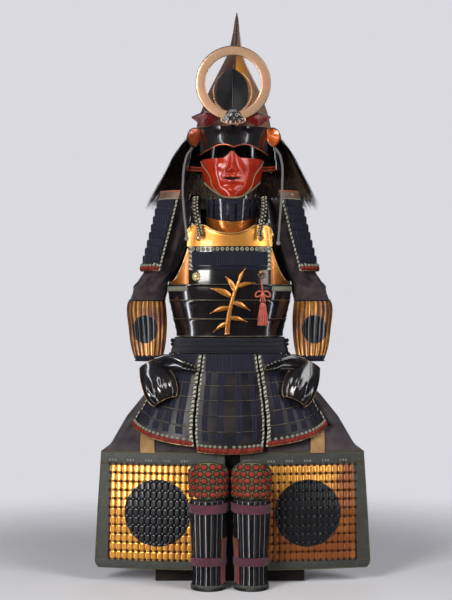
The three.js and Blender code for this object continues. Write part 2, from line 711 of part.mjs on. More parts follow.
// A wall across the front between two heights, as wide as the chest.
function chestBand(low, high, halfWidth, columns, rows, thickness, proud = 0) {
  const surface = (u, v) => {
    const x = lerp(-halfWidth, halfWidth, u);
    const top = typeof high === "function" ? high(Math.abs(x)) : high;
    const z = lerp(low, top, v);
    return formPoint(TORSO, angleAtSide(TORSO, x, z), z, proud);
  };
  return wall(surface, columns, rows, thickness, { level: true });
}
const neckline = (side) => rowAt(NECKLINE, "side", side).z;
addPiece("chest_plate", chestBand(CHEST_LINE, neckline, 123, 14, 2, PLATE, 3), FINISH.goldLacquer);
addPiece(
  "front_lame_1",
  chestBand(ARMHOLE, CHEST_LINE - SEAM_GAP, CHEST_HALF_WIDTH, 10, 2, PLATE),
  FINISH.navyLacing,
);
const FRONT_LAMES = [
  { name: "front_lame_2", low: 812, high: ARMHOLE },
  { name: "front_lame_3", low: 757, high: 812 },
  { name: "front_lame_4", low: WAIST, high: 757 },
];
for (const { name, low, high } of FRONT_LAMES) {
  const limits = { from: -89.8, to: 89.8, low, high: high - SEAM_GAP };
  addPiece(name, formWall(TORSO, limits, 16, 1, PLATE), FINISH.blackLacquer);
}

// The gold plates beside the chest rise from the armholes to the chest plate's edge.
function sidePlatePoint(u, v) {
  const x = lerp(CHEST_HALF_WIDTH + SEAM_GAP, 176, u);
  const top = ARMHOLE + 6 + 100 * (1 - u) ** 1.9;
  const z = lerp(ARMHOLE + SEAM_GAP, top, v);
  return formPoint(TORSO, angleAtSide(TORSO, x, z), z, 0.5);
}
addPair("side_plate", wall(sidePlatePoint, 6, 3, PLATE, { level: true }), FINISH.goldLacquer);

// The back: a deep lower half, and an upper half that rises between the arms.
addPiece(
  "back_lower",
  formWall(TORSO, { from: 90.2, to: 269.8, low: WAIST, high: ARMHOLE }, 16, 3, PLATE),
  FINISH.blackLacquer,
);
const backTop = (angle) => {
  const side = Math.abs(Math.sin(degToRad(angle)));
  return lerp(1088, ARMHOLE + 14, clamp((side - 0.62) / 0.36, 0, 1) ** 0.8);
};
const backUpper = formWall(
  TORSO,
  { from: 100, to: 260, low: ARMHOLE + SEAM_GAP, high: backTop },
  18,
  5,
  PLATE,
);

// The shoulder straps are riveted to the back and reach down to the chest plate.
const STRAP_INNER = 85;
const STRAP_OUTER = 119;
const STRAP = [
  { y: 88, z: 1062 },
  { y: 86, z: 1092 },
  { y: 66, z: 1116 },
  { y: 24, z: 1126 },
  { y: -30, z: 1120 },
  { y: -80, z: 1090 },
  { y: -106, z: 1052 },
  { y: -113, z: 1036 },
];
function strapPoint(u, v) {
  const row = rowAlong(STRAP, 1 - v);
  return new THREE.Vector3(lerp(STRAP_INNER, STRAP_OUTER, u), row.y, row.z);
}
const strap = wall(strapPoint, 2, 12, 5);
addPiece("back_upper", joined(backUpper, strap, mirrored(strap)), FINISH.blackLacquer);

// The toggle braids that close the straps to the chest plate.
const BRAID_DIAMETER = 17;
const BRAID = [
  [100, -104, 1112], [101, -117, 1092], [99, -126, 1066], [94, -131, 1038],
  [89, -134, 1016], [86, -135, 1000],
];
addPair("toggle", cord(BRAID, BRAID_DIAMETER, 8), FINISH.braid);

// A rosette on each side of the breast; the left-hand one of the wearer holds a tassel.
function onFront(geometry, proud) {
  return shaped(geometry, (point) => {
    const surface = formPoint(TORSO, angleAtSide(TORSO, point.x, point.z), point.z, proud);
    point.y += surface.y;
  });
}
addPiece("rosette_left", onFront(plate(ovalOutline(-95, 880, 13, 13, 12), 3), 0.4), FINISH.paleCopper);
addPiece("rosette_right", onFront(plate(ovalOutline(91, 888, 11, 13, 12), 3), 0.4), FINISH.paleCopper);
const TASSEL_CORD_DIAMETER = 4;
const TASSEL_CORD = [
  [91, -142, 872], [91.6, -142.8, 867], [92.3, -143.4, 862], [93, -144, 857], [93.6, -144.4, 852],
  [94.2, -144.7, 847], [94.8, -145, 842], [95.3, -145, 837], [95.7, -145, 832], [96, -145, 827],
  [96, -145, 822], [96, -145, 817], [96, -145, 812], [96, -145, 808], [96, -145, 805],
];
addPiece("tassel_cord", cord(TASSEL_CORD, TASSEL_CORD_DIAMETER, 8), FINISH.coralSilk);
const TASSEL_PROFILE = [
  [0, 739], [14, 739], [13, 760], [9, 784], [8, 798], [4, 804], [0, 804.6],
];
const tassel = new THREE.LatheGeometry(
  TASSEL_PROFILE.map(([radius, z]) => new THREE.Vector2(radius, z)),
  12,
);
addPiece("tassel", tassel.rotateX(Math.PI / 2).translate(96, -150, 0), FINISH.coralSilk);

// The raised ornament: a cane of bamboo that leans across the front, with slender leaves.
const CANE = [
  { x: -8, z: 712, halfWidth: 8 },
  { x: -2, z: 770, halfWidth: 7 },
  { x: 10, z: 822, halfWidth: 6 },
  { x: 26, z: 868, halfWidth: 5 },
];
const SPRIG_LEAVES = [
  { x: 4, z: 822, length: 62, angle: 158 },
  { x: 0, z: 790, length: 58, angle: 198 },
  { x: 14, z: 838, length: 50, angle: 122 },
  { x: 26, z: 866, length: 42, angle: 64 },
  { x: 20, z: 850, length: 52, angle: 12 },
  { x: 8, z: 806, length: 56, angle: -28 },
  { x: -2, z: 760, length: 52, angle: -14 },
  { x: -4, z: 746, length: 50, angle: 214 },
];
function leafOutline({ x, z, length, angle }) {
  const halfWidth = length * 0.13;
  const shares = [0, 0.25, 0.55, 1];
  const widths = [0.25, 1, 0.8, 0.04];
  const turn = degToRad(angle);
  const place = (along, across) => [
    x + along * Math.cos(turn) - across * Math.sin(turn),
    z + along * Math.sin(turn) + across * Math.cos(turn),
  ];
  const right = shares.map((share, i) => place(share * length, -widths[i] * halfWidth));
  const left = shares.map((share, i) => place(share * length, widths[i] * halfWidth));
  return [...right, ...left.reverse()];
}
const cane = [...CANE.map((row) => [row.x + row.halfWidth, row.z])];
cane.push(...CANE.map((row) => [row.x - row.halfWidth, row.z]).reverse());
const sprigOutlines = [cane, ...SPRIG_LEAVES.map(leafOutline)];
const sprig = joined(...sprigOutlines.map((outline) => plate(outline, 6)));
addPiece("front_ornament", onFront(sprig, 2), FINISH.goldLacquer);

// ---------- Sash and skirt ----------
const sashLimits = { from: -180, to: 180, low: 656, high: 701, closed: true, proud: 0 };
addPiece("sash", formWall(SASH, sashLimits, 28, 2, LAME), FINISH.navyLacing);

for (const { name, form, top, foot, low } of TASSETS) {
  const surface = (u, v) => {
    const angle = lerp(lerp(foot[0], foot[1], u), lerp(top[0], top[1], u), v);
    const lowest = lerp(low[0], low[1], u) - 7 * Math.sin(Math.PI * u);
    return formPoint(form, angle, lerp(lowest, SKIRT_TOP - SEAM_GAP, v));
  };
  addPiece(name, wall(surface, 6, 5, LAME, { level: true }), FINISH.blackLacquer);
}

// ---------- Arms ----------
for (const [name, low, high, rows] of [
  ["sleeve_upper", ELBOW, SHOULDER, 5],
  ["sleeve_lower", 640, ELBOW - SEAM_GAP, 4],
]) {
  const limits = { from: -180, to: 180, low, high, closed: true };
  addPair(name, formWall(SLEEVE, limits, 14, rows, CLOTH), FINISH.darkCloth);
}
addPair(
  "forearm_guard",
  formWall(SLEEVE, { from: -86, to: 150, low: 645, high: 812, proud: 7.5 }, 12, 4, 2.5),
  FINISH.goldLacquer,
);

// A plate on the back of the hand: each row gives its middle, and it arches outwards.
function archPlate(table, across, outward, columns, rows, thickness, spread) {
  const surface = (u, v) => {
    const row = rowAlong(table, 1 - v);
    const angle = degToRad(lerp(-spread, spread, u));
    const point = new THREE.Vector3(row.x, row.y, row.z);
    point.addScaledVector(across, row.halfWidth * Math.sin(angle));
    return point.addScaledVector(outward, row.rise * Math.cos(angle) - row.rise);
  };
  return wall(surface, columns, rows, thickness);
}
const handAcross = new THREE.Vector3(0.89, 0.1, -0.44).normalize();
const handOutward = new THREE.Vector3(0.3, -0.86, 0.4).normalize();
const thumbAcross = new THREE.Vector3(0.2, -0.2, 0.96).normalize();
const thumbOutward = new THREE.Vector3(-0.25, -0.95, 0.1).normalize();
const handPlate = archPlate(HAND, handAcross, handOutward, 10, 8, PLATE, 84);
const thumbPlate = archPlate(THUMB, thumbAcross, thumbOutward, 6, 6, PLATE, 80);
addPair("hand_guard", joined(handPlate, thumbPlate), FINISH.blackLacquer);

addPair(
  "shoulder_guard",
  formWall(SHOULDER_GUARD, { from: 14, to: 166, low: 898, high: 1134 }, 10, 6, LAME),
  FINISH.blackLacquer,
);

// ---------- Legs ----------

// A point of the thigh guard, at a distance from its inner edge and moved out by proud.
function apronPoint(z, share, proud) {
  const row = rowAt(APRON, "z", z);
  const bulge = -10 * Math.sin(Math.PI * share);
  const y = lerp(row.innerY, row.outerY, share) + bulge - proud;
  return new THREE.Vector3(APRON_X + lerp(row.inner, row.outer, share), y, z);
}
function apronCloth(u, v) {
  const z = rowAlong(APRON, v).z;
  return apronPoint(z, u, 0);
}
addPair("thigh_cloth", wall(apronCloth, 8, 10, CLOTH), FINISH.darkCloth, APRON_X);
function scalePoint(u, v) {
  const z = lerp(SCALES.low, SCALES.high, v);
  const row = rowAt(APRON, "z", z);
  const share = (lerp(SCALES.inner, SCALES.outer, u) - row.inner) / (row.outer - row.inner);
  return apronPoint(z, share, LAME + SEAM_GAP);
}
addPair("thigh_scales", wall(scalePoint, 8, 4, LAME), FINISH.goldLacquer, APRON_X);

const legForm = (form) => ({ ...form, rows: form.rows.map((row) => ({ ...row, x: LEG_X })) });
const kneeTop = (angle) => 334 + 34 * Math.cos(degToRad(angle * 0.94));
addPair(
  "shin_guard",
  formWall(legForm(SHIN), { from: -96, to: 96, low: 0, high: 256 - SEAM_GAP }, 12, 5, PLATE),
  FINISH.blackLacquer,
);
addPair(
  "knee_guard",
  formWall(legForm(KNEE), { from: -92, to: 92, low: 256, high: kneeTop }, 12, 4, LAME),
  FINISH.hexagonLeather,
);

// ---------- Storage chest and stand ----------
const CHEST = { halfWidth: 216, front: -165, back: 185, wall: 12, lidHeight: 60 };
CHEST.depth = CHEST.back - CHEST.front;
CHEST.middle = (CHEST.back + CHEST.front) / 2;
CHEST.rim = STAND_TOP - CHEST.lidHeight;

// A block over the whole chest, between two heights, drawn in by inset on its four sides.
function chestBlock(low, high, inset) {
  const width = 2 * (CHEST.halfWidth - inset);
  const depth = CHEST.depth - 2 * inset;
  return block(width, depth, high - low, 0, CHEST.middle, (high + low) / 2);
}
function hollowed(outside, inside) {
  return geometryFromSolid(solidOf(outside).subtract(solidOf(inside)));
}
const chestInside = chestBlock(CHEST.wall, CHEST.rim + CHEST.wall, CHEST.wall);
addPiece("chest_box", hollowed(chestBlock(0, CHEST.rim, 0), chestInside), FINISH.blackLacquer);
const lidInside = chestBlock(CHEST.rim - CHEST.wall, STAND_TOP - CHEST.wall, CHEST.wall);
const lidOutside = chestBlock(CHEST.rim + SEAM_GAP, STAND_TOP, 0);
addPiece("chest_lid", hollowed(lidOutside, lidInside), FINISH.blackLacquer);

// The wooden post carries a crossbar under the shoulder straps and a cap in the helmet.
const STAND = {
  y: 30,
  post: { width: 36, top: 1291.3 },
  crossbar: { width: 210, depth: 26, height: 30, z: 1102 },
  foot: { width: 150, height: 20 },
  cap: { top: 48, foot: 60, height: 36, z: 1300, y: 20 },
};
const standFoot = STAND_TOP + SEAM_GAP;
const postHeight = STAND.post.top - standFoot;
const { crossbar, foot, cap } = STAND;
const headCap = new THREE.CylinderGeometry(cap.top, cap.foot, cap.height, 16);
const standParts = [
  block(STAND.post.width, STAND.post.width, postHeight, 0, STAND.y, standFoot + postHeight / 2),
  block(crossbar.width, crossbar.depth, crossbar.height, 0, STAND.y, crossbar.z),
  block(foot.width, foot.width, foot.height, 0, STAND.y, standFoot + foot.height / 2),
  headCap.rotateX(Math.PI / 2).translate(HEAD_X, cap.y, cap.z),
];
addPiece("stand_frame", joined(...standParts), FINISH.wood);

export default armour;
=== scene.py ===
# A Japanese suit of armour (tosei gusoku) seated over its storage chest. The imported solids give
# every place; this script makes what shows. Blender's metres, +Z up, the front faces -Y.
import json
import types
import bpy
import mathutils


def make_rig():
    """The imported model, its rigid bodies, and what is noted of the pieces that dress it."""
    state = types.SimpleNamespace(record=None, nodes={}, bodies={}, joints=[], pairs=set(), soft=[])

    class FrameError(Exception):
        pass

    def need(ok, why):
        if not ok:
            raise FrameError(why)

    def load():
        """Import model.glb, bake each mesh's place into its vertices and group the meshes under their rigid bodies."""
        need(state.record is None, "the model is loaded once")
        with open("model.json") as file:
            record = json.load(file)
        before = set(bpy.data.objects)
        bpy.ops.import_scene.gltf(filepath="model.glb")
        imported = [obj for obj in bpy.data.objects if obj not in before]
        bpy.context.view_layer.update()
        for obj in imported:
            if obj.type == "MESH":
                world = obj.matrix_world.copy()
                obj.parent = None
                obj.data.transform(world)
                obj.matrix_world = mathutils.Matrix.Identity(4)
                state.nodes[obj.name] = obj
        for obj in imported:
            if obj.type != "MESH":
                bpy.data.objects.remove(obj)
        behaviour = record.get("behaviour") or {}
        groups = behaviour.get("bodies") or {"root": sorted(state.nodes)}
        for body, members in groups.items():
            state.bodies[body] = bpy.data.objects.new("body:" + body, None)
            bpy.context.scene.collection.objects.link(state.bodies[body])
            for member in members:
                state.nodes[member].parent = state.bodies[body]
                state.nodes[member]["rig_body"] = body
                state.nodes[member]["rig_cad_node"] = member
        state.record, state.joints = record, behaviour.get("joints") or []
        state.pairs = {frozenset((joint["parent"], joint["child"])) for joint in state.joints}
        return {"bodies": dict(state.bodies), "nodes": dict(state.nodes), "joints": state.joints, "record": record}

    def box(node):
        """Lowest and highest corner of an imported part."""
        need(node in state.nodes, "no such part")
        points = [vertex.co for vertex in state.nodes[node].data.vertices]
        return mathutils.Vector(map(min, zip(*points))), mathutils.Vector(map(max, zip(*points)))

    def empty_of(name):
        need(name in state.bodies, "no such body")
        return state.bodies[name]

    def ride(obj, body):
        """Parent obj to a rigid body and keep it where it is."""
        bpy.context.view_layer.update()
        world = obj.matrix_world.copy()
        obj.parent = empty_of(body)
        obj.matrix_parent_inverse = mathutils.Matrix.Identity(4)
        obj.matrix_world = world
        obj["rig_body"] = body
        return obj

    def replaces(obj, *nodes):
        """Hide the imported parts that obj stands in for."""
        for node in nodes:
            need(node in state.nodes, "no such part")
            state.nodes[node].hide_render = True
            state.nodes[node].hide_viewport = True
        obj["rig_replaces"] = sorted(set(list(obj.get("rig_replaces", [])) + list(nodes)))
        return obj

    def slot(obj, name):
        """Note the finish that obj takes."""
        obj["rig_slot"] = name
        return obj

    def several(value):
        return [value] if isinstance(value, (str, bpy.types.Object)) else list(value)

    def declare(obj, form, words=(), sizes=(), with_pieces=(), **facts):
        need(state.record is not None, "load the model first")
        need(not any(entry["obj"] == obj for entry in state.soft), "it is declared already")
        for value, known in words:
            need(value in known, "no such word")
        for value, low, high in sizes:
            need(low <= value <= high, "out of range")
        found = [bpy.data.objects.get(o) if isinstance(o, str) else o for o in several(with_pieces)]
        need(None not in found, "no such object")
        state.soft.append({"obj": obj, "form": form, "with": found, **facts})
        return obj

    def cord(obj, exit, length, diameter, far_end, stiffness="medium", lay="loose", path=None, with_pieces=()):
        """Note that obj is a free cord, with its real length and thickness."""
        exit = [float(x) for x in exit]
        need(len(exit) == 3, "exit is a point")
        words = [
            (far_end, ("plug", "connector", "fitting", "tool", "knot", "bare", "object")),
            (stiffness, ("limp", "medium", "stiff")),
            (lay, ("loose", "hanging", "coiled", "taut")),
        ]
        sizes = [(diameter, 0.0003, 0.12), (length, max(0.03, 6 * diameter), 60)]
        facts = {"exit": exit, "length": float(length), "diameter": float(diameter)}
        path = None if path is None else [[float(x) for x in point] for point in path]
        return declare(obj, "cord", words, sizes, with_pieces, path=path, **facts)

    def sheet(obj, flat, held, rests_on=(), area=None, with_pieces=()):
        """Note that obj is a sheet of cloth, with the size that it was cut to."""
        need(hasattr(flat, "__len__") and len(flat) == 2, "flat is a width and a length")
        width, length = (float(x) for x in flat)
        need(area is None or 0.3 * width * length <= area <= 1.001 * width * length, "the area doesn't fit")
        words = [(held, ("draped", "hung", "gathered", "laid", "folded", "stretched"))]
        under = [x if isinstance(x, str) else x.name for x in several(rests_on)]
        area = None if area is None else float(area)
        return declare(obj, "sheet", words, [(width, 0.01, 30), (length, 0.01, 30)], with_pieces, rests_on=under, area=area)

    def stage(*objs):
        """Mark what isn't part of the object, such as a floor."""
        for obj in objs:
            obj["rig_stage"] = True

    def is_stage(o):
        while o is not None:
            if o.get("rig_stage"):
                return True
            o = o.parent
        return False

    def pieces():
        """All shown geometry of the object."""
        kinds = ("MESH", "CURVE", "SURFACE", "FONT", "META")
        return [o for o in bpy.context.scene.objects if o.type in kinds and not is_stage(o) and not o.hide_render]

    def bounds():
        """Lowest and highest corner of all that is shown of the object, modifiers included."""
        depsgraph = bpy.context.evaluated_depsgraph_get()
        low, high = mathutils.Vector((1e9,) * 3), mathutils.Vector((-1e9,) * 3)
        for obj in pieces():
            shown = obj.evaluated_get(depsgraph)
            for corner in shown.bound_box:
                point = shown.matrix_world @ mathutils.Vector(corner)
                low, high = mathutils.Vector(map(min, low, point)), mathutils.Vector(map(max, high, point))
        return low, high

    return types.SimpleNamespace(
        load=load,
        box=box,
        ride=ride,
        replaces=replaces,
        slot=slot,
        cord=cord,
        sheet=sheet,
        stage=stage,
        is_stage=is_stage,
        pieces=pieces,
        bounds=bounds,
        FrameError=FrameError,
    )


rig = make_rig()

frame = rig.load()
solid_low, solid_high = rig.bounds()

import json
import random
from math import asin, copysign, cos, degrees, exp, hypot, pi, radians, sin, sqrt

import bmesh
import bpy
from mathutils import Matrix, Vector

# ---------- Studio ----------
# A pale floor that fades into a pale room, with soft boxes in front, above and behind. Gloss
# mirrors a dim room and two narrow bright strips, never the floor. The camera stands level with
# the waist, four and a half metres away.
scene = bpy.context.scene
scene.view_settings.view_transform = "Standard"

lens = bpy.data.cameras.new("camera")
lens.lens = 90
lens.sensor_width = 36
camera = bpy.data.objects.new("camera", lens)
camera.location = (-0.011, -4.5, 0.812)
camera.rotation_euler = (radians(90), 0, 0)
scene.collection.objects.link(camera)
scene.camera = camera


def add_node(tree, kind, inputs=None, **settings):
    """Adds a node; an input given another node's socket is linked to it."""
    made = tree.nodes.new(kind)
    for name, value in settings.items():
        setattr(made, name, value)
    for name, value in (inputs or {}).items():
        socket = made.inputs[name]
        if isinstance(value, bpy.types.NodeSocket):
            tree.links.new(value, socket)
        else:
            socket.default_value = value
    return made


def sized(tree, value, low, high, start=0.0, end=1.0):
    """A value brought from one range to another, held at its ends."""
    inputs = {"Value": value, "From Min": low, "From Max": high, "To Min": start, "To Max": end}
    return add_node(tree, "ShaderNodeMapRange", inputs).outputs["Result"]


def maths(tree, operation, first, second=0.0):
    return add_node(tree, "ShaderNodeMath", {0: first, 1: second}, operation=operation).outputs[0]


def object_place(tree):
    return add_node(tree, "ShaderNodeTexCoord").outputs["Object"]


def soft_box(name, place, width, height, power, colour):
    """A studio soft box that faces the middle of the armour and doesn't show itself."""
    data = bpy.data.lights.new(name, "AREA")
    data.shape = "RECTANGLE"
    data.size = width
    data.size_y = height
    data.energy = power
    data.color = colour
    lamp = bpy.data.objects.new(name, data)
    lamp.location = place
    aim = Vector((0, 0, 0.85)) - Vector(place)
    lamp.rotation_euler = aim.to_track_quat("-Z", "Y").to_euler()
    lamp.visible_camera = False
    scene.collection.objects.link(lamp)


soft_box("key_light", (-1.75, -3.4, 1.8), 1.2, 1.9, 135, (1.0, 0.97, 0.94))
soft_box("fill_light", (2.6, -2.7, 1.6), 0.9, 1.8, 24, (1.0, 0.97, 0.95))
soft_box("top_light", (2.0, -2.1, 3.1), 1.6, 1.4, 48, (1.0, 1.0, 1.0))
soft_box("back_light", (0.3, 3.4, 3.2), 2.0, 2.0, 14, (0.96, 0.98, 1.0))

room = bpy.data.worlds.new("room")
room.use_nodes = True
scene.world = room
tree = room.node_tree
tree.nodes.clear()
seen = add_node(tree, "ShaderNodeBackground", {"Color": (0.70, 0.70, 0.74, 1), "Strength": 1.0})
cast = add_node(tree, "ShaderNodeBackground", {"Color": (0.86, 0.88, 0.94, 1)})
towards = add_node(tree, "ShaderNodeTexCoord").outputs["Generated"]
heading = add_node(tree, "ShaderNodeSeparateXYZ", {0: towards}).outputs
bearing = maths(tree, "ARCTAN2", heading["X"], maths(tree, "MULTIPLY", heading["Y"], -1.0))
STRIPS = ((-1.15, 0.040, 20.0), (1.15, 0.026, 11.0))  # bearing and half width in radians, strength
strips = []
for middle, half, bright in STRIPS:
    away = maths(tree, "ABSOLUTE", maths(tree, "SUBTRACT", bearing, middle))
    strips.append(sized(tree, away, half * 1.5, half * 0.6, 0.0, bright))
rays = add_node(tree, "ShaderNodeLightPath")
in_gloss = maths(tree, "MULTIPLY", maths(tree, "ADD", *strips), rays.outputs["Is Glossy Ray"])
above = sized(tree, heading["Z"], -0.10, 0.15, 0.02, 0.12)
lit = maths(tree, "ADD", in_gloss, above)
tree.links.new(lit, cast.inputs["Strength"])
both = add_node(tree, "ShaderNodeMixShader", {0: rays.outputs["Is Camera Ray"]})
tree.links.new(cast.outputs[0], both.inputs[1])
tree.links.new(seen.outputs[0], both.inputs[2])
add_node(tree, "ShaderNodeOutputWorld", {"Surface": both.outputs[0]})

floor_mesh = bpy.data.meshes.new("floor")
shape = bmesh.new()
bmesh.ops.create_circle(shape, cap_ends=True, segments=96, radius=7)
shape.to_mesh(floor_mesh)
shape.free()
floor = bpy.data.objects.new("floor", floor_mesh)
floor.location.z = -0.0005
scene.collection.objects.link(floor)
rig.stage(floor)
paper = bpy.data.materials.new("pale_floor")
paper.use_nodes = True
tree = paper.node_tree
middle = add_node(tree, "ShaderNodeVectorMath", {0: object_place(tree)}, operation="LENGTH")
fade = sized(tree, middle.outputs["Value"], 0.62, 2.0)
fade.node.interpolation_type = "SMOOTHSTEP"
clear = add_node(tree, "ShaderNodeBsdfTransparent")
mirrored = add_node(tree, "ShaderNodeLightPath").outputs["Is Glossy Ray"]
hidden = maths(tree, "MAXIMUM", fade, mirrored)
blend = add_node(tree, "ShaderNodeMixShader", {0: hidden})
shader = tree.nodes["Principled BSDF"]
shader.inputs["Base Color"].default_value = (0.80, 0.80, 0.83, 1)
shader.inputs["Roughness"].default_value = 0.7
tree.links.new(shader.outputs[0], blend.inputs[1])
tree.links.new(clear.outputs[0], blend.inputs[2])
tree.links.new(blend.outputs[0], tree.nodes["Material Output"].inputs["Surface"])
floor.data.materials.append(paper)

# ---------- Storage chest and stand ----------
# The armour is kept in a plain lacquered chest and shown sitting over it. A wooden post and
# crossbar inside carry it. The chest is dovetailed board under black lacquer.
MM = 0.001


def mix(low, high, share):
    return low + (high - low) * share


def new_shape():
    """An empty mesh whose faces carry a map of their own."""
    made = bmesh.new()
    made.loops.layers.uv.new("UVMap")
    return made


def finish_piece(name, shape, material, slot, stands_for=(), wall=0, edge=0):
    """Makes a piece of the armour from a mesh; wall and edge give it thickness and round edges."""
    mesh = bpy.data.meshes.new(name)
    shape.to_mesh(mesh)
    shape.free()
    mesh.polygons.foreach_set("use_smooth", [True] * len(mesh.polygons))
    piece = bpy.data.objects.new(name, mesh)
    scene.collection.objects.link(piece)
    for finish in material if isinstance(material, list) else [material]:
        mesh.materials.append(finish)
    if wall:
        thick = piece.modifiers.new("wall", "SOLIDIFY")
        thick.thickness = wall * MM
        thick.offset = -1
    if edge:
        rounded = piece.modifiers.new("edge", "BEVEL")
        rounded.width = edge * MM
        rounded.segments = 2
        rounded.limit_method = "ANGLE"
        rounded.angle_limit = radians(40)
        rounded.harden_normals = True
    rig.ride(piece, "root")
    if stands_for:
        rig.replaces(piece, *([stands_for] if isinstance(stands_for, str) else stands_for))
    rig.slot(piece, slot)
    return piece


def new_group(name, inputs, outputs):
    """A shader node group; returns it with its entry's outputs and its exit's inputs."""
    group = bpy.data.node_groups.new(name, "ShaderNodeTree")
    kinds = {"float": "NodeSocketFloat", "colour": "NodeSocketColor", "vector": "NodeSocketVector"}
    for label, (kind, value) in inputs.items():
        socket = group.interface.new_socket(name=label, in_out="INPUT", socket_type=kinds[kind])
        if value is not None:
            socket.default_value = value
    for label, kind in outputs.items():
        group.interface.new_socket(name=label, in_out="OUTPUT", socket_type=kinds[kind])
    entry = group.nodes.new("NodeGroupInput")
    leave = group.nodes.new("NodeGroupOutput")
    return group, entry.outputs, leave.inputs


def tinted(tree, share, first, second, blend_type="MIX"):
    """One colour over another by a share."""
    made = add_node(tree, "ShaderNodeMix", data_type="RGBA", blend_type=blend_type)
    for socket, value in ((made.inputs[0], share), (made.inputs[6], first), (made.inputs[7], second)):
        if isinstance(value, bpy.types.NodeSocket):
            tree.links.new(value, socket)
        else:
            socket.default_value = value
    return made.outputs[2]


def new_material(name, **values):
    """A material with its shader's own values set; returns it with its tree and shader."""
    material = bpy.data.materials.new(name)
    material.use_nodes = True
    shader = material.node_tree.nodes["Principled BSDF"]
    for label, value in values.items():
        shader.inputs[label.replace("_", " ")].default_value = value
    return material, material.node_tree, shader


def bumped(tree, shader, height, distance, strength=1.0):
    """Feeds a height in millimetres to the shader's normal."""
    inputs = {"Height": height, "Distance": distance * MM, "Strength": strength}
    bump = add_node(tree, "ShaderNodeBump", inputs)
    tree.links.new(bump.outputs["Normal"], shader.inputs["Normal"])


def noise(tree, place, scale, detail=2.0, roughness=0.5):
    """A cloudy pattern, read at a place."""
    inputs = {"Vector": place, "Scale": scale, "Detail": detail, "Roughness": roughness}
    return add_node(tree, "ShaderNodeTexNoise", inputs).outputs["Fac"]


def place_group(tree, group, inputs):
    """Puts a node group in a tree with its own values; cloth groups read the piece's own map."""
    node = add_node(tree, "ShaderNodeGroup", node_tree=group)
    for label, value in inputs.items():
        node.inputs[label].default_value = (*value, 1) if isinstance(value, tuple) else value
    if "Vector" in node.inputs:
        tree.links.new(add_node(tree, "ShaderNodeTexCoord").outputs["UV"], node.inputs["Vector"])
    return node.outputs


def surfaced(name, group, inputs, relief, strength=1.0, **values):
    """A material whose colour, roughness and height come from a node group."""
    material, tree, shader = new_material(name, **values)
    surface = place_group(tree, group, inputs)
    tree.links.new(surface["Color"], shader.inputs["Base Color"])
    if "Roughness" in surface:
        tree.links.new(surface["Roughness"], shader.inputs["Roughness"])
    bumped(tree, shader, surface["Height"], relief, strength)
    return material


# Lacquer over iron or wood: cloudy where it has thinned, with fine scratches and dull patches.
LACQUER, entry, leave = new_group(
    "aged_lacquer",
    {
        "Fresh": ("colour", (0.01, 0.01, 0.012, 1)),
        "Worn": ("colour", (0.05, 0.03, 0.02, 1)),
        "Patches": ("float", 14.0),
        "Wear": ("float", 0.3),
        "Gloss": ("float", 0.2),
    },
    {"Color": "colour", "Roughness": "float", "Height": "float"},
)
place_on = object_place(LACQUER)
clouds = noise(LACQUER, place_on, entry["Patches"], 6.0, 0.62)
fine = noise(LACQUER, place_on, 420.0, 3.0)
brushed = add_node(LACQUER, "ShaderNodeMapping", {"Vector": place_on, "Scale": (30, 30, 300)})
scratches = noise(LACQUER, brushed.outputs[0], 2.0)
worn = maths(LACQUER, "MULTIPLY", sized(LACQUER, clouds, 0.42, 0.68), entry["Wear"])
speckled = maths(LACQUER, "MULTIPLY", sized(LACQUER, fine, 0.6, 0.75, 0.0, 0.35), entry["Wear"])
worn_all = maths(LACQUER, "ADD", worn, speckled)
LACQUER.links.new(tinted(LACQUER, worn_all, entry["Fresh"], entry["Worn"]), leave["Color"])
dull = maths(LACQUER, "MULTIPLY", sized(LACQUER, scratches, 0.5, 0.7), 0.06)
duller = maths(LACQUER, "MULTIPLY_ADD", worn, 0.25)
LACQUER.links.new(dull, duller.node.inputs[2])
LACQUER.links.new(maths(LACQUER, "ADD", entry["Gloss"], duller), leave["Roughness"])
LACQUER.links.new(maths(LACQUER, "ADD", clouds, maths(LACQUER, "MULTIPLY", fine, 0.12)), leave["Height"])


def lacquered(name, fresh, worn_colour, wear, gloss, patches=14.0, **values):
    """A lacquer finish with its own colours and wear."""
    inputs = {"Fresh": fresh, "Worn": worn_colour, "Wear": wear, "Gloss": gloss, "Patches": patches}
    return surfaced(name, LACQUER, inputs, 0.35, 0.5, **values)


chest_black = lacquered(
    "chest_lacquer", (0.009, 0.008, 0.008), (0.035, 0.018, 0.012), 0.5, 0.26, Coat_Weight=0.3
)
CHEST_WALL = 12


def add_block(shape, low, high):
    """A block between two corners."""
    corners = bmesh.ops.create_cube(shape, size=1)["verts"]
    for corner in corners:
        corner.co = Vector([mix(low[axis], high[axis], corner.co[axis] + 0.5) for axis in range(3)])
    return corners


def chest_part(name, upwards):
    """The chest's box or its lid: a block sunk from its open side, with eased edges."""
    low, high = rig.box(name)
    shape = new_shape()
    add_block(shape, low, high)
    opening = max(shape.faces, key=lambda side: side.calc_center_median().z * upwards)
    bmesh.ops.inset_region(shape, faces=[opening], thickness=CHEST_WALL * MM, use_even_offset=True)
    sunk = bmesh.ops.extrude_face_region(shape, geom=[opening])["geom"]
    inside = [part for part in sunk if isinstance(part, bmesh.types.BMVert)]
    depth = high.z - low.z - CHEST_WALL * MM
    bmesh.ops.translate(shape, verts=inside, vec=(0, 0, -upwards * depth))
    if opening.is_valid:
        bmesh.ops.delete(shape, geom=[opening], context="FACES_ONLY")
    sharp = [edge for edge in shape.edges if edge.calc_face_angle(0) > 1]
    bmesh.ops.bevel(
        shape, geom=sharp, offset=3 * MM, segments=3, profile=0.5, affect="EDGES", material=-1
    )
    return finish_piece(name + "_lacquered", shape, chest_black, "black_lacquer", name)


chest_part("chest_box", 1)
chest_part("chest_lid", -1)

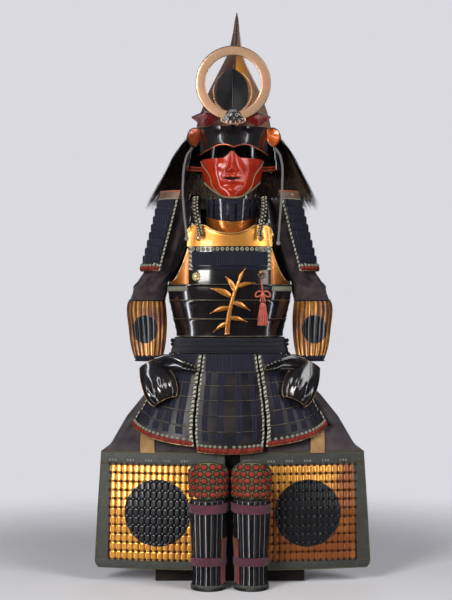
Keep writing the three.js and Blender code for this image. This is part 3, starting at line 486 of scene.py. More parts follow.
# The stand's own solid stays; it only gets its softwood, planed, with its grain coloured near black: painted shade
# where it shows through the gaps of the armour.
wood, tree, shader = new_material("stand_softwood", Roughness=0.6)
grain_place = object_place(tree)
grain_way = add_node(tree, "ShaderNodeMapping", {"Vector": grain_place, "Scale": (60, 60, 4)})
grain = noise(tree, grain_way.outputs[0], 1.5, 5.0)
grain.node.inputs["Distortion"].default_value = 1.2
shade = tinted(tree, sized(tree, grain, 0.35, 0.65), (0.018, 0.011, 0.007, 1), (0.045, 0.028, 0.018, 1))
tree.links.new(shade, shader.inputs["Base Color"])
bumped(tree, shader, grain, 0.3)
stand = frame["nodes"]["stand_frame"]
stand.data.materials.clear()
stand.data.materials.append(wood)
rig.slot(stand, "stand_wood")

# ---------- Shin guards ----------
# Seven lacquered iron splints joined by mail on a cloth backing, bound in printed leather at
# the foot, with a red leather patch inside the calf. Two silk bands tie each one on.
LEG_X = 60  # each shin guard's middle line
SHIN = {
    "roundness": 2.0,  # rows: height, middle x, middle y, half width, half depth
    "rows": [
        (0, LEG_X, -278, 46, 50),
        (26, LEG_X, -278, 42, 47),
        (70, LEG_X, -278, 42, 48),
        (160, LEG_X, -274, 47, 56),
        (256, LEG_X, -272, 50, 58),
    ],
}
SIDES = ((1, "right"), (-1, "left"))


def row_at(rows, height):
    """A table's columns at a height, on a smooth curve through its rows."""
    last = len(rows) - 1
    heights = [row[0] for row in rows]
    height = min(max(height, heights[0]), heights[last])
    low = max(index for index in range(last) if heights[index] <= height)
    slopes = []
    for index in (low, low + 1):
        before = rows[max(index - 1, 0)]
        after = rows[min(index + 1, last)]
        slopes.append([(b - a) / (after[0] - before[0]) for a, b in zip(before, after)])
    span = heights[low + 1] - heights[low]
    t = (height - heights[low]) / span
    found = []
    for start, end, leave, arrive in zip(rows[low], rows[low + 1], *slopes):
        rise = end - start
        bend = 3 * rise - span * (2 * leave + arrive)
        turn = span * (leave + arrive) - 2 * rise
        found.append(start + t * (span * leave + t * (bend + t * turn)))
    return found


def signed_power(value, power):
    return copysign(abs(value) ** power, value)


def oval_point(form, angle, height, out=0.0):
    """A point of an oval form, in metres: the angle runs from the front towards +X."""
    z, x, y, half_width, half_depth = row_at(form["rows"], height)
    power = 2 / form["roundness"]
    side = half_width * signed_power(sin(radians(angle)), power)
    ahead = -half_depth * signed_power(cos(radians(angle)), power)
    moved = 1 + out / hypot(side, ahead)
    return Vector((x + side * moved, y + ahead * moved, height)) * MM


def add_sheet(shape, columns, rows, place, size=(1, 1), finish=0):
    """Adds a grid with its corners put by place(u, v), u to the right and v up from outside."""
    layer = shape.loops.layers.uv.verify()
    made = bmesh.ops.create_grid(
        shape, x_segments=columns, y_segments=rows, size=0.5, calc_uvs=False
    )["verts"]
    for face in {face for vert in made for face in vert.link_faces}:
        face.material_index = finish
        for loop in face.loops:
            across = (loop.vert.co.x + 0.5) * size[0]
            along = (loop.vert.co.y + 0.5) * size[1]
            loop[layer].uv = (across, along)
    for vert in made:
        vert.co = place(vert.co.x + 0.5, vert.co.y + 0.5)
    return made


def on_side(side, place, line=0.0):
    """The same surface on the wearer's other side, still with u to the right from outside."""
    if side > 0:
        return place

    def turned(u, v, *rest):
        point = place(1 - u, v, *rest)
        return Vector((2 * line * MM - point.x, point.y, point.z))

    return turned


def flipped(side, points):
    """The same points, mirrored when side is -1."""
    return [Vector((side * point.x, point.y, point.z)) for point in points]


def cushion(u, power=2.0):
    """The height of a low cushion across its width: 0 at the edges, 1 in the middle."""
    return 1 - abs(2 * u - 1) ** power


def part_of(place, left, right, low, high, rise=0.0, power=2.0, out=0.0):
    """A strip of a surface, between two shares across and two up, bulging by rise."""

    def strip(u, v):
        bulge = out + rise * cushion(u, power)
        return place(mix(left, right, u), mix(low, high, v), bulge)

    return strip


black_lacquer = lacquered(
    "black_lacquer", (0.006, 0.006, 0.008), (0.03, 0.018, 0.014), 0.35, 0.13, Coat_Weight=0.5
)
SHIN_SWEEP = 96
SPLINTS = 7
SPLINT_SHARE = 0.80  # of the space between two splints' middles
SHIN_HEIGHT = 256
SHIN_FOOT = 12  # where the splints start and end
SHIN_TOP = 250


def shin_place(u, v, out=0.0):
    angle = mix(-SHIN_SWEEP, SHIN_SWEEP, u)
    return oval_point(SHIN, angle, mix(0, 255.5, v), out)


# Mail: rows of small iron rings, each bent through its neighbours, sewn on dark hemp.
mail, tree, shader = new_material("iron_mail", Metallic=0.5, Roughness=0.45)
ring_map = add_node(tree, "ShaderNodeTexCoord").outputs["UV"]
rings = add_node(tree, "ShaderNodeTexVoronoi", {"Vector": ring_map, "Scale": 260.0, "Randomness": 0.2})
ring_line = sized(tree, rings.outputs["Distance"], 0.25, 0.5)
mail_tint = tinted(tree, ring_line, (0.006, 0.006, 0.007, 1), (0.05, 0.045, 0.045, 1))
tree.links.new(mail_tint, shader.inputs["Base Color"])
bumped(tree, shader, ring_line, 1.0)

# Red doeskin, darker where it has been handled.
red_leather, tree, shader = new_material("red_leather", Roughness=0.5, Sheen_Weight=0.2)
spot = object_place(tree)
stain = noise(tree, spot, 26.0, 6.0)
pores = noise(tree, spot, 700.0)
red_tint = tinted(tree, sized(tree, stain, 0.35, 0.7), (0.17, 0.022, 0.010, 1), (0.04, 0.009, 0.006, 1))
tree.links.new(red_tint, shader.inputs["Base Color"])
bumped(tree, shader, pores, 0.3)

# Leather printed in pale ink with a small repeat of sprigs, over grey-green.
LEATHER, entry, leave = new_group(
    "printed_leather",
    {
        "Ground": ("colour", (0.06, 0.065, 0.045, 1)),
        "Print": ("colour", (0.2, 0.2, 0.15, 1)),
        "Repeat": ("float", 90.0),
    },
    {"Color": "colour", "Height": "float"},
)
leather_place = object_place(LEATHER)
sprigs = add_node(
    LEATHER, "ShaderNodeTexVoronoi", {"Vector": leather_place, "Scale": entry["Repeat"], "Randomness": 0.55}
).outputs["Distance"]
fading = noise(LEATHER, leather_place, 18.0, 5.0)
grained = noise(LEATHER, leather_place, 600.0)
printed = maths(LEATHER, "MULTIPLY", sized(LEATHER, sprigs, 0.30, 0.22), sized(LEATHER, fading, 0.35, 0.6))
ground = tinted(LEATHER, sized(LEATHER, fading, 0.3, 0.7, 0.75, 1.25), (0, 0, 0, 1), entry["Ground"])
LEATHER.links.new(tinted(LEATHER, printed, ground, entry["Print"]), leave["Color"])
LEATHER.links.new(grained, leave["Height"])


def leathered(name, ground, ink, repeat, **values):
    inputs = {"Ground": ground, "Print": ink, "Repeat": repeat}
    return surfaced(name, LEATHER, inputs, 0.4, **values)


border_leather = leathered(
    "border_leather", (0.031, 0.034, 0.026), (0.062, 0.060, 0.046), 75.0, Roughness=0.62
)

# Woven cloth: two sets of threads over and under, a little uneven in tone. The low places between crossing threads are
# painted darker, as shade.
WEAVE, entry, leave = new_group(
    "plain_weave",
    {
        "Vector": ("vector", None),
        "Color": ("colour", (0.1, 0.1, 0.1, 1)),
        "Shade": ("colour", (0.05, 0.05, 0.05, 1)),
        "Threads": ("float", 900.0),
        "Cloudy": ("float", 12.0),
    },
    {"Color": "colour", "Height": "float"},
)
threads = []
for direction in ("X", "Y"):
    threads.append(
        add_node(
            WEAVE,
            "ShaderNodeTexWave",
            {"Vector": entry["Vector"], "Scale": entry["Threads"], "Distortion": 0.6, "Detail": 1.0},
            wave_type="BANDS",
            bands_direction=direction,
        ).outputs["Fac"]
    )
crossing = maths(WEAVE, "MULTIPLY", threads[0], threads[1])
weave_place = object_place(WEAVE)
cloudy = noise(WEAVE, weave_place, entry["Cloudy"], 5.0)
tone_and_gap_shade = maths(WEAVE, "MULTIPLY_ADD", crossing, -0.35)
WEAVE.links.new(sized(WEAVE, cloudy, 0.3, 0.72, 0.2, 1.1), tone_and_gap_shade.node.inputs[2])
WEAVE.links.new(tinted(WEAVE, tone_and_gap_shade, entry["Color"], entry["Shade"]), leave["Color"])
WEAVE.links.new(crossing, leave["Height"])


def woven(name, colour, shade, threads=900.0, cloudy=12.0, coarse=0.25, **values):
    """A cloth finish; its threads follow the piece's own map, in metres."""
    inputs = {"Color": colour, "Shade": shade, "Threads": threads, "Cloudy": cloudy}
    return surfaced(name, WEAVE, inputs, coarse, Specular_IOR_Level=0.2, **values)


purple_silk = woven(
    "purple_silk", (0.115, 0.030, 0.050), (0.060, 0.018, 0.030), 500.0, Roughness=0.7, Sheen_Weight=0.12
)
BANDS = ((243, 217), (92, 68))  # top and bottom edge of each tie


def shin_band(top, foot):
    """A silk tie right round the leg, a little creased, riding over the splints."""

    def place(u, v):
        angle = mix(-180, 180, u)
        crease = 0.8 * sin(radians(angle * 7)) + 0.5 * sin(9 * v + angle / 14)
        height = mix(foot, top, v) + 2.0 * sin(radians(angle * 1.3 + top))
        return oval_point(SHIN, angle, height, 7.0 + 1.2 * cushion(v, 4) + crease)

    return place


for side, name in SIDES:
    place = on_side(side, shin_place)
    shape = new_shape()
    add_sheet(shape, 40, 18, lambda u, v: place(u, v, 0.4), (0.18, 0.25))
    finish_piece(f"shin_backing_{name}", shape, mail, "black_lacquer", f"shin_guard_{name}", 1.6)
    shape = new_shape()
    for splint in range(SPLINTS):
        middle = (splint + 0.5) / SPLINTS
        reach = SPLINT_SHARE / SPLINTS / 2
        low, high = SHIN_FOOT / SHIN_HEIGHT, SHIN_TOP / SHIN_HEIGHT
        strip = part_of(place, middle - reach, middle + reach, low, high, 2.8, 2.0, 1.4)
        add_sheet(shape, 6, 18, strip)
    finish_piece(f"shin_splints_{name}", shape, black_lacquer, "black_lacquer", (), 1.4, 0.5)
    shape = new_shape()
    inner = (0.02, 0.25) if side > 0 else (0.75, 0.98)
    patch = part_of(place, *inner, 0.075, 0.57, 0.6, 6.0, 5.2)
    add_sheet(shape, 10, 14, patch)
    finish_piece(f"calf_patch_{name}", shape, red_leather, "red_lacquer", (), 1.2, 0.4)
    shape = new_shape()

    def binding(u, v):
        lift = 9 * abs(sin(pi * (u * 2.5 - 0.25))) * (1 - v)
        point = place(u, 0, 3.4 + 1.2 * cushion(v, 3))
        point.z += (lift + 17 * v) * MM
        return point

    add_sheet(shape, 48, 5, binding)
    finish_piece(f"shin_binding_{name}", shape, border_leather, "printed_leather", (), 2.2, 0.6)
    shape = new_shape()
    for top, foot in BANDS:
        made = add_sheet(shape, 64, 5, on_side(side, shin_band(top, foot)), (0.33, 0.026))
        bmesh.ops.remove_doubles(shape, verts=made, dist=1e-6)
    finish_piece(f"shin_ties_{name}", shape, purple_silk, "navy_cloth", (), 1.2, 0.3)

# ---------- Knee pieces ----------
# Small six-sided plates quilted between two layers of tan cloth. Each pad is dark, with a pale
# green edge and a middle of red thread, and a rolled leather rim is sewn round them.
KNEE = {
    "roundness": 2.2,
    "rows": [
        (256, LEG_X, -272, 52, 60),
        (320, LEG_X, -272, 54, 64),
        (368, LEG_X, -272, 50, 60),
    ],
}
KNEE_SWEEP = 92
PAD_WIDTH = 22.0
KNEE_PADS = 9  # in a row round the knee


def knee_edges(angle):
    """The knee piece's scalloped foot and its round top at an angle."""
    foot = 256 + 8 * abs(sin(radians(angle * 2.0)))
    top = 333 + 35 * cos(radians(min(abs(angle), 90))) ** 1.5
    return foot, top


def knee_place(u, v, out=0.0):
    angle = mix(-KNEE_SWEEP, KNEE_SWEEP, u)
    return oval_point(KNEE, angle, mix(*knee_edges(angle), v), out)


def surface_frame(place, u, v, out=0.0, reach=0.01):
    """A turn and place that lay a small shape on a surface: x right, y up, z outwards."""
    right = place(u + reach, v, out) - place(u - reach, v, out)
    up = place(u, v + reach, out) - place(u, v - reach, out)
    right.normalize()
    outwards = right.cross(up).normalized()
    up = outwards.cross(right)
    turn = Matrix((right, up, outwards)).transposed().to_4x4()
    turn.translation = place(u, v, out)
    return turn


def add_bead(shape, frame_at, width, height, depth, finish=0):
    """A rounded bead or knot, laid on a surface."""
    turn = frame_at @ Matrix.Diagonal((width / 2 * MM, height / 2 * MM, depth / 2 * MM, 1))
    made = bmesh.ops.create_uvsphere(shape, u_segments=8, v_segments=5, radius=1, matrix=turn)
    for face in {face for vert in made["verts"] for face in vert.link_faces}:
        face.material_index = finish


green_pad = woven("green_brocade", (0.026, 0.019, 0.009), (0.014, 0.012, 0.007), 800.0, Roughness=0.8)
red_thread = woven("red_thread", (0.38, 0.040, 0.020), (0.17, 0.018, 0.012), 700.0, 60.0, Roughness=0.7)
tan_thread = woven("tan_thread", (0.26, 0.215, 0.12), (0.13, 0.12, 0.065), 900.0, 40.0, Roughness=0.75)


def add_hexagon(shape, frame_at, width):
    """A quilted pad: six sides rising in two steps to a red middle."""
    radius = width / 2 / cos(radians(30))
    turn = frame_at @ Matrix.Diagonal((1, 0.91, 1, 1)) @ Matrix.Rotation(radians(30), 4, "Z")
    rim = bmesh.ops.create_circle(shape, cap_ends=True, segments=6, radius=radius * MM, matrix=turn)
    face = max({face for vert in rim["verts"] for face in vert.link_faces}, key=lambda one: len(one.verts))
    outwards = frame_at.to_3x3() @ Vector((0, 0, 1))
    if face.normal.dot(outwards) < 0:
        face.normal_flip()
    for narrower, higher, finish in ((0.075, 1.7, 2), (0.31, -0.5, 0), (0.06, 1.2, 1)):
        made = bmesh.ops.inset_region(
            shape, faces=[face], thickness=radius * narrower * MM, use_boundary=True
        )
        for ring_face in made["faces"]:
            ring_face.material_index = finish
        bmesh.ops.translate(shape, verts=face.verts, vec=outwards * higher * MM)
    face.material_index = 1


pale_green = woven("pale_green_thread", (0.21, 0.24, 0.12), (0.13, 0.15, 0.08), 900.0, Roughness=0.75)
for side, name in SIDES:
    place = on_side(side, knee_place)
    shape = new_shape()
    add_sheet(shape, 40, 14, lambda u, v: place(u, v, 1.2), (0.19, 0.1))
    finish_piece(f"knee_cloth_{name}", shape, tan_thread, "printed_leather", f"knee_guard_{name}", 2.4)
    shape = new_shape()
    round_length = 190
    for row in range(6):
        height = 271 + row * 19.0
        for pad in range(KNEE_PADS + 1):
            across = (pad + 0.5 * (row % 2)) * PAD_WIDTH / round_length - 0.02
            angle = mix(-KNEE_SWEEP, KNEE_SWEEP, across)
            foot, top = knee_edges(max(-KNEE_SWEEP, min(KNEE_SWEEP, angle)))
            if abs(across - 0.5) < 0.46 and foot + 6 < height < top - 9:
                share = (height - foot) / (top - foot)
                add_hexagon(shape, surface_frame(place, across, share, 2.9), 24.0)
    finish_piece(f"knee_pads_{name}", shape, [green_pad, red_thread, pale_green], "printed_leather")
    shape = new_shape()
    add_sheet(shape, 48, 6, lambda u, v: place(u, mix(0.93, 1.02, v), 1.5 + 3.4 * cushion(v)))
    add_sheet(shape, 48, 5, lambda u, v: place(u, mix(-0.01, 0.045, v), 1.5 + 2.4 * cushion(v)))
    finish_piece(f"knee_rim_{name}", shape, border_leather, "printed_leather", (), 1.2, 0.4)

# ---------- Thigh guards ----------
# A divided apron of brocade that fans out from the waist. Its foot is a field of small gilt
# leather scales, black inside a great disc, laced on and bound with printed leather.
APRON_X = 8
APRON = [  # height, inner x, outer x, inner y, outer y; x from the line between the two halves
    (38, 23, 385, -212, -152),
    (41, 22, 391, -212, -152),
    (47, 22, 396, -212, -152),
    (58, 22, 399, -212, -152),
    (210, 22, 391, -212, -150),
    (374, 22, 382, -206, -134),
    (392, 21, 356, -196, -116),
    (470, 18, 312, -150, -72),
    (532, 16, 262, -126, -52),
    (598, 14, 196, -112, -58),
    (640, 12, 146, -104, -62),
]
FIELD = {"inner": 46, "outer": 356, "low": 66, "high": 338}
BORDER_TOP = 376
APRON_BULGE = 10


def straight_row(rows, height):
    """A table's columns at a height, straight between its rows."""
    for low, high in zip(rows, rows[1:]):
        if height <= high[0]:
            break
    share = min(max((height - low[0]) / (high[0] - low[0]), 0), 1)
    return [mix(a, b, share) for a, b in zip(low, high)]


def apron_point(height, share, out=0.0):
    """A point of the right thigh guard: share runs from its inner to its outer edge."""
    _, inner, outer, inner_y, outer_y = straight_row(APRON, height)
    ahead = mix(inner_y, outer_y, share) - APRON_BULGE * sin(pi * share) - out
    return Vector((APRON_X + mix(inner, outer, share), ahead, height)) * MM


def swell(distance, reach):
    """A smooth rise of 1 that has nearly gone at twice its reach."""
    return exp(-((distance / reach) ** 2))


def crease_depth(creases, u, v):
    """How far the main creases push a cloth out at a point of its map."""
    depth = 0.0
    for (u_0, v_0), (u_1, v_1), reach, rise in creases:
        run = Vector((u_1 - u_0, v_1 - v_0))
        along = min(max(((u - u_0) * run.x + (v - v_0) * run.y) / run.length_squared, 0), 1)
        away = hypot(u - u_0 - run.x * along, v - v_0 - run.y * along)
        depth += rise * swell(away, reach) * sin(pi * mix(0.12, 0.88, along))
    return depth


FAN_CREASES = [  # from and to (across, up), reach, rise in millimetres
    ((0.12, 0.98), (0.10, 0.56), 0.035, 5.0),
    ((0.27, 0.99), (0.24, 0.60), 0.030, -4.0),
    ((0.38, 0.97), (0.37, 0.66), 0.040, 5.5),
    ((0.50, 0.99), (0.56, 0.58), 0.030, -5.0),
    ((0.62, 0.98), (0.66, 0.63), 0.045, 6.0),
    ((0.74, 0.99), (0.82, 0.60), 0.028, -4.5),
    ((0.86, 0.97), (0.94, 0.58), 0.034, 5.0),
    ((0.30, 0.74), (0.52, 0.62), 0.025, -2.5),
    ((0.66, 0.80), (0.88, 0.70), 0.022, 3.0),
    ((0.58, 0.67), (0.95, 0.605), 0.018, 6.0),
    ((0.72, 0.75), (0.92, 0.66), 0.016, -5.0),
    ((0.80, 0.71), (0.99, 0.68), 0.014, 4.5),
    ((0.50, 0.62), (0.66, 0.60), 0.014, 4.0),
]


def fan_fold(u, v):
    """How far the cloth stands out in its folds, all of them above the laced field."""
    return 2.4 * crease_depth(FAN_CREASES, u, v) * min(max((v - 0.57) / 0.05, 0), 1)


def apron_cloth_point(u, v, out=0.0):
    return apron_point(mix(APRON[0][0], APRON[-1][0], v), u, out + fan_fold(u, v))


fan_cloth = woven(
    "brocade_lining", (0.088, 0.062, 0.064), (0.026, 0.022, 0.030), 650.0, 16.0, 0.3,
    Roughness=0.85, Sheen_Weight=0.25,
)

# Gilt scales: gold leaf under clear lacquer, browned in clouds, black within the disc. Each
# scale is tied through two pairs of holes by dark lacing.
GILT, entry, leave = new_group(
    "gilt_lacquer",
    {
        "Bright": ("colour", (0.72, 0.40, 0.085, 1)),
        "Brown": ("colour", (0.19, 0.062, 0.014, 1)),
        "Clouds": ("float", 6.0),
        "Wear": ("float", 1.0),
    },
    {"Color": "colour", "Roughness": "float", "Height": "float"},
)
gilt_place = object_place(GILT)
large = noise(GILT, gilt_place, entry["Clouds"], 4.0)
rubbed = noise(GILT, gilt_place, 75.0, 7.0, 0.7)
browned = maths(GILT, "MULTIPLY", sized(GILT, large, 0.40, 0.66), entry["Wear"])
chafed = maths(GILT, "MULTIPLY", sized(GILT, rubbed, 0.50, 0.72, 0.0, 0.55), entry["Wear"])
brown_share = maths(GILT, "MAXIMUM", browned, chafed)
GILT.links.new(tinted(GILT, brown_share, entry["Bright"], entry["Brown"]), leave["Color"])
GILT.links.new(sized(GILT, brown_share, 0.0, 1.0, 0.24, 0.46), leave["Roughness"])
GILT.links.new(rubbed, leave["Height"])


def gilt_surface(tree, bright, brown, clouds, wear):
    inputs = {"Bright": bright, "Brown": brown, "Clouds": clouds, "Wear": wear}
    return place_group(tree, GILT, inputs)


def gilded(name, bright, brown, clouds, wear, relief=0.3, **values):
    """A gilt finish: gold leaf under lacquer, with its own colours and wear."""
    inputs = {"Bright": bright, "Brown": brown, "Clouds": clouds, "Wear": wear}
    return surfaced(name, GILT, inputs, relief, 0.6, **values)


GOLD = (0.78, 0.36, 0.055)
GOLD_BROWN = (0.25, 0.070, 0.013)
DISC_MIDDLE_X = 220
DISC_MIDDLE_Z = 200
DISC_RADIUS = 96
SCALE_COLUMNS = 18
SCALE_ROWS = 11


def scale_finish(name, line, wear):
    """The scales' finish on one side, with the disc about its own middle."""
    material, tree, shader = new_material(name, Metallic=0.55, Coat_Weight=0.3)
    surface = gilt_surface(tree, GOLD, GOLD_BROWN, 5.0, wear)
    apart = add_node(tree, "ShaderNodeSeparateXYZ", {0: object_place(tree)}).outputs
    across = maths(tree, "SUBTRACT", apart["X"], line * MM)
    above = maths(tree, "SUBTRACT", apart["Z"], DISC_MIDDLE_Z * MM)
    square = maths(tree, "ADD", maths(tree, "POWER", across, 2.0), maths(tree, "POWER", above, 2.0))
    inside = sized(tree, maths(tree, "SQRT", square), (DISC_RADIUS + 0.5) * MM, (DISC_RADIUS - 0.5) * MM)
    black = tinted(tree, inside, surface["Color"], (0.006, 0.006, 0.008, 1))
    tree.links.new(black, shader.inputs["Base Color"])
    dulled = maths(tree, "MAXIMUM", surface["Roughness"], maths(tree, "MULTIPLY", inside, 0.40))
    tree.links.new(dulled, shader.inputs["Roughness"])
    bumped(tree, shader, surface["Height"], 0.3, 0.6)
    return material


def field_point(u, v, out=0.0):
    """A point over the field of scales, level with the backing cloth."""
    height = mix(FIELD["low"], FIELD["high"], v)
    _, inner, outer, _, _ = straight_row(APRON, height)
    share = (mix(FIELD["inner"], FIELD["outer"], u) - inner) / (outer - inner)
    return apron_point(height, share, out)


def scale_strip(place, column, row):
    """One scale: arched across, leaning out at its foot over the row below."""

    def at(u, v):
        left = (column + 0.005) / SCALE_COLUMNS
        right = (column + 0.995) / SCALE_COLUMNS
        rounded = 0.35 * (2 * u - 1) ** 2 * (1 - v)
        up = (row + mix(-0.12, 1.02, v) + rounded * 0.55) / SCALE_ROWS
        return place(mix(left, right, u), up, 2.8 + 1.9 * (1 - v) + 1.3 * cushion(u))

    return at


BORDERS = {  # left, right, low, high as shares of width and millimetres of height
    "foot": (0.0, 1.0, 38, 68),
    "top": (0.0, 1.0, 336, BORDER_TOP),
    "inner": (0.0, 0.066, 60, 350),
    "outer": (0.905, 1.0, 60, 350),
}
scale_lacing = woven("scale_lacing", (0.050, 0.014, 0.009), (0.018, 0.007, 0.006), 700.0, Roughness=0.8)
edge_thread = woven("edge_thread", (0.13, 0.11, 0.065), (0.07, 0.06, 0.035), 700.0, Roughness=0.75)
strap_tan = woven("strap_tan", (0.50, 0.30, 0.13), (0.30, 0.18, 0.08), 600.0, 30.0, Roughness=0.75)
pale_thread = woven("pale_thread", (0.26, 0.25, 0.21), (0.14, 0.14, 0.12), 900.0, 40.0, Roughness=0.75)


for side, name in SIDES:
    place = on_side(side, apron_cloth_point, APRON_X)
    shape = new_shape()
    add_sheet(shape, 64, 72, place, (0.37, 0.60))
    cloth = finish_piece(f"thigh_fan_{name}", shape, fan_cloth, "dark_cloth", f"thigh_cloth_{name}", 2.0)
    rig.sheet(cloth, flat=(0.377, 0.61), held="hung", rests_on=["stand_frame"], area=0.19)
    shape = new_shape()
    scales = on_side(side, field_point, APRON_X)
    for row in range(SCALE_ROWS):
        for column in range(SCALE_COLUMNS):
            add_sheet(shape, 4, 4, scale_strip(scales, column, row))
    middle = APRON_X + side * (DISC_MIDDLE_X - APRON_X + 4)
    knots = new_shape()
    for row in range(SCALE_ROWS + 1):
        for column in range(SCALE_COLUMNS + 1):
            at = surface_frame(scales, column / SCALE_COLUMNS, row / SCALE_ROWS, 6.6)
            from_middle = hypot(at.translation.x - middle * MM, at.translation.z - DISC_MIDDLE_Z * MM)
            add_bead(knots, at, 8.4, 8.4, 3.2, 1 if from_middle < DISC_RADIUS * MM else 0)
    finish_piece(f"scale_knots_{name}", knots, [scale_lacing, black_lacquer], "dark_cloth")
    # The right field is browned more than the left, wear 1.4 against 0.7. The shared 1.05 is wear; the difference is
    # painted shade on the less lit right field.
    gilt = scale_finish(f"gilt_scales_{name}", middle, 1.05 + 0.35 * side)
    finish_piece(f"scales_{name}", shape, gilt, "gold_lacquer", f"thigh_scales_{name}", 1.0)
    shape = new_shape()
    for where, (left, right, low, high) in BORDERS.items():
        proud = 3.6 if where in ("foot", "top") else 3.2

        def border_point(u, v, left=left, right=right, low=low, high=high, proud=proud):
            share = mix(left, right, u)
            corner = 14 * max(0.0, 1 - (high - 38) / 40) * abs(2 * share - 1) ** 24 * (1 - v)
            return apron_point(mix(low, high, v) + corner, share, proud + 1.6 * cushion(v, 6))

        add_sheet(shape, 36, 8, on_side(side, border_point, APRON_X))
    finish_piece(f"thigh_border_{name}", shape, border_leather, "printed_leather", (), 2.4, 0.8)
    shape = new_shape()
    for share in (0.004, 0.066, 0.905, 0.996):

        def edge_strip(u, v, share=share):
            return apron_point(mix(40, 374, v), share + (u - 0.5) * 0.009, 4.4 + 1.8 * cushion(u))

        add_sheet(shape, 4, 40, on_side(side, edge_strip, APRON_X))
    for height in (40, 66, 338, 374):

        def level_strip(u, v, height=height):
            return apron_point(height + (v - 0.5) * 3.4, u, 4.6 + 1.8 * cushion(v))

        add_sheet(shape, 40, 4, on_side(side, level_strip, APRON_X))
    finish_piece(f"thigh_piping_{name}", shape, edge_thread, "printed_leather", (), 1.2)
    shape = new_shape()
    border_place = on_side(side, lambda u, v, out: apron_point(mix(330, BORDER_TOP, v), u, out), APRON_X)
    for group in (0.10, 0.245, 0.39, 0.535, 0.68, 0.825):
        for step in (-1, 0, 1):
            at = surface_frame(border_place, group + step * 0.022, 0.42, 5.4)
            add_bead(shape, at, 6.0, 8.0, 2.4)
    finish_piece(f"border_knots_{name}", shape, pale_thread, "printed_leather")
    shape = new_shape()

    def strap_point(u, v, out=0.0):
        height = mix(372, 470, v)
        _, inner, outer, _, _ = straight_row(APRON, height)
        share = (mix(224, 266, u) + 2 * sin(5 * v) - inner) / (outer - inner)
        fold = max(0.0, fan_fold(share, (height - APRON[0][0]) / (APRON[-1][0] - APRON[0][0])))
        return apron_point(height, share, 7.5 + fold + 1.5 * cushion(u, 6) + out)

    add_sheet(shape, 8, 16, on_side(side, strap_point, APRON_X), (0.04, 0.1))
    finish_piece(f"thigh_strap_{name}", shape, strap_tan, "printed_leather", (), 1.6, 0.5)

# ---------- Sleeves and forearm guards ----------
# Hemp sleeves laced to the shoulder straps. Long gilt splints joined by mail are sewn on over
# the forearm, black where a disc is lacquered across them.
SLEEVE_FOOT = 640
SLEEVE_TOP = 1112
SLEEVE = {
    "roundness": 2.1,
    "rows": [
        (SLEEVE_FOOT, 238, -84, 38, 36),
        (670, 240, -68, 42, 42),
        (735, 243, -36, 48, 50),
        (797, 248, -8, 52, 56),
        (835, 243, 4, 48, 54),
        (866, 234, 8, 43, 52),
        (900, 210, 10, 43, 54),
        (960, 188, 12, 46, 58),
        (1030, 164, 14, 48, 60),
        (SLEEVE_TOP, 148, 14, 38, 56),
    ],
}
SLEEVE_CREASES = [  # across runs from the back round the inner side, the front and the outer side
    ((0.30, 0.46), (0.62, 0.40), 0.018, 3.5),
    ((0.36, 0.51), (0.70, 0.47), 0.015, -3.0),
    ((0.40, 0.55), (0.58, 0.60), 0.020, 3.0),
    ((0.45, 0.93), (0.40, 0.62), 0.035, 5.0),
    ((0.54, 0.90), (0.52, 0.58), 0.028, -4.5),
    ((0.62, 0.96), (0.60, 0.64), 0.030, 4.0),
    ((0.30, 0.88), (0.34, 0.55), 0.030, -3.5),
    ((0.78, 0.85), (0.70, 0.52), 0.030, 3.5),
    ((0.12, 0.80), (0.18, 0.50), 0.035, -3.5),
    ((0.88, 0.50), (0.66, 0.42), 0.018, 3.0),
    ((0.04, 0.46), (0.22, 0.43), 0.016, 2.5),
    ((0.44, 0.50), (0.50, 0.41), 0.022, -3.5),
    ((0.52, 0.56), (0.60, 0.43), 0.020, 3.0),
    ((0.62, 0.54), (0.74, 0.41), 0.018, -3.0),
    ((0.33, 0.58), (0.42, 0.44), 0.020, 3.5),
    ((0.28, 0.80), (0.26, 0.50), 0.022, 4.0),
    ((0.40, 0.82), (0.36, 0.56), 0.020, -3.5),
]


def sleeve_point(u, v, out=0.0):
    """The cloth tube: u from the back of the arm, round the inner side, to the back again."""
    seamless = sin(pi * u) ** 0.5 if 0 < u < 1 else 0.0
    folds = 2.3 * crease_depth(SLEEVE_CREASES, u, v) * seamless
    folds += 9.0 * exp(-(((u - 0.26) / 0.09) ** 2) - ((v - 0.435) / 0.065) ** 2)
    return oval_point(SLEEVE, mix(-180, 180, u), mix(SLEEVE_FOOT, SLEEVE_TOP, v), out + folds)


GUARD_FROM = -86
GUARD_TO = 150
GUARD_LOW = 645
GUARD_HIGH = 812
RIBS = 12
ARM_DISC = {"x": 249, "z": 726, "radius": 37}


def guard_point(u, v, out=0.0):
    height = mix(GUARD_LOW, GUARD_HIGH, v)
    rounded = 6.0 * abs(2 * v - 1) ** 3
    return oval_point(SLEEVE, mix(GUARD_FROM, GUARD_TO, u), height, 8.5 - rounded + out)


sleeve_cloth = woven(
    "sleeve_hemp", (0.072, 0.047, 0.050), (0.008, 0.007, 0.011), 700.0, 34.0, 0.3,
    Roughness=0.85, Sheen_Weight=0.15,
)


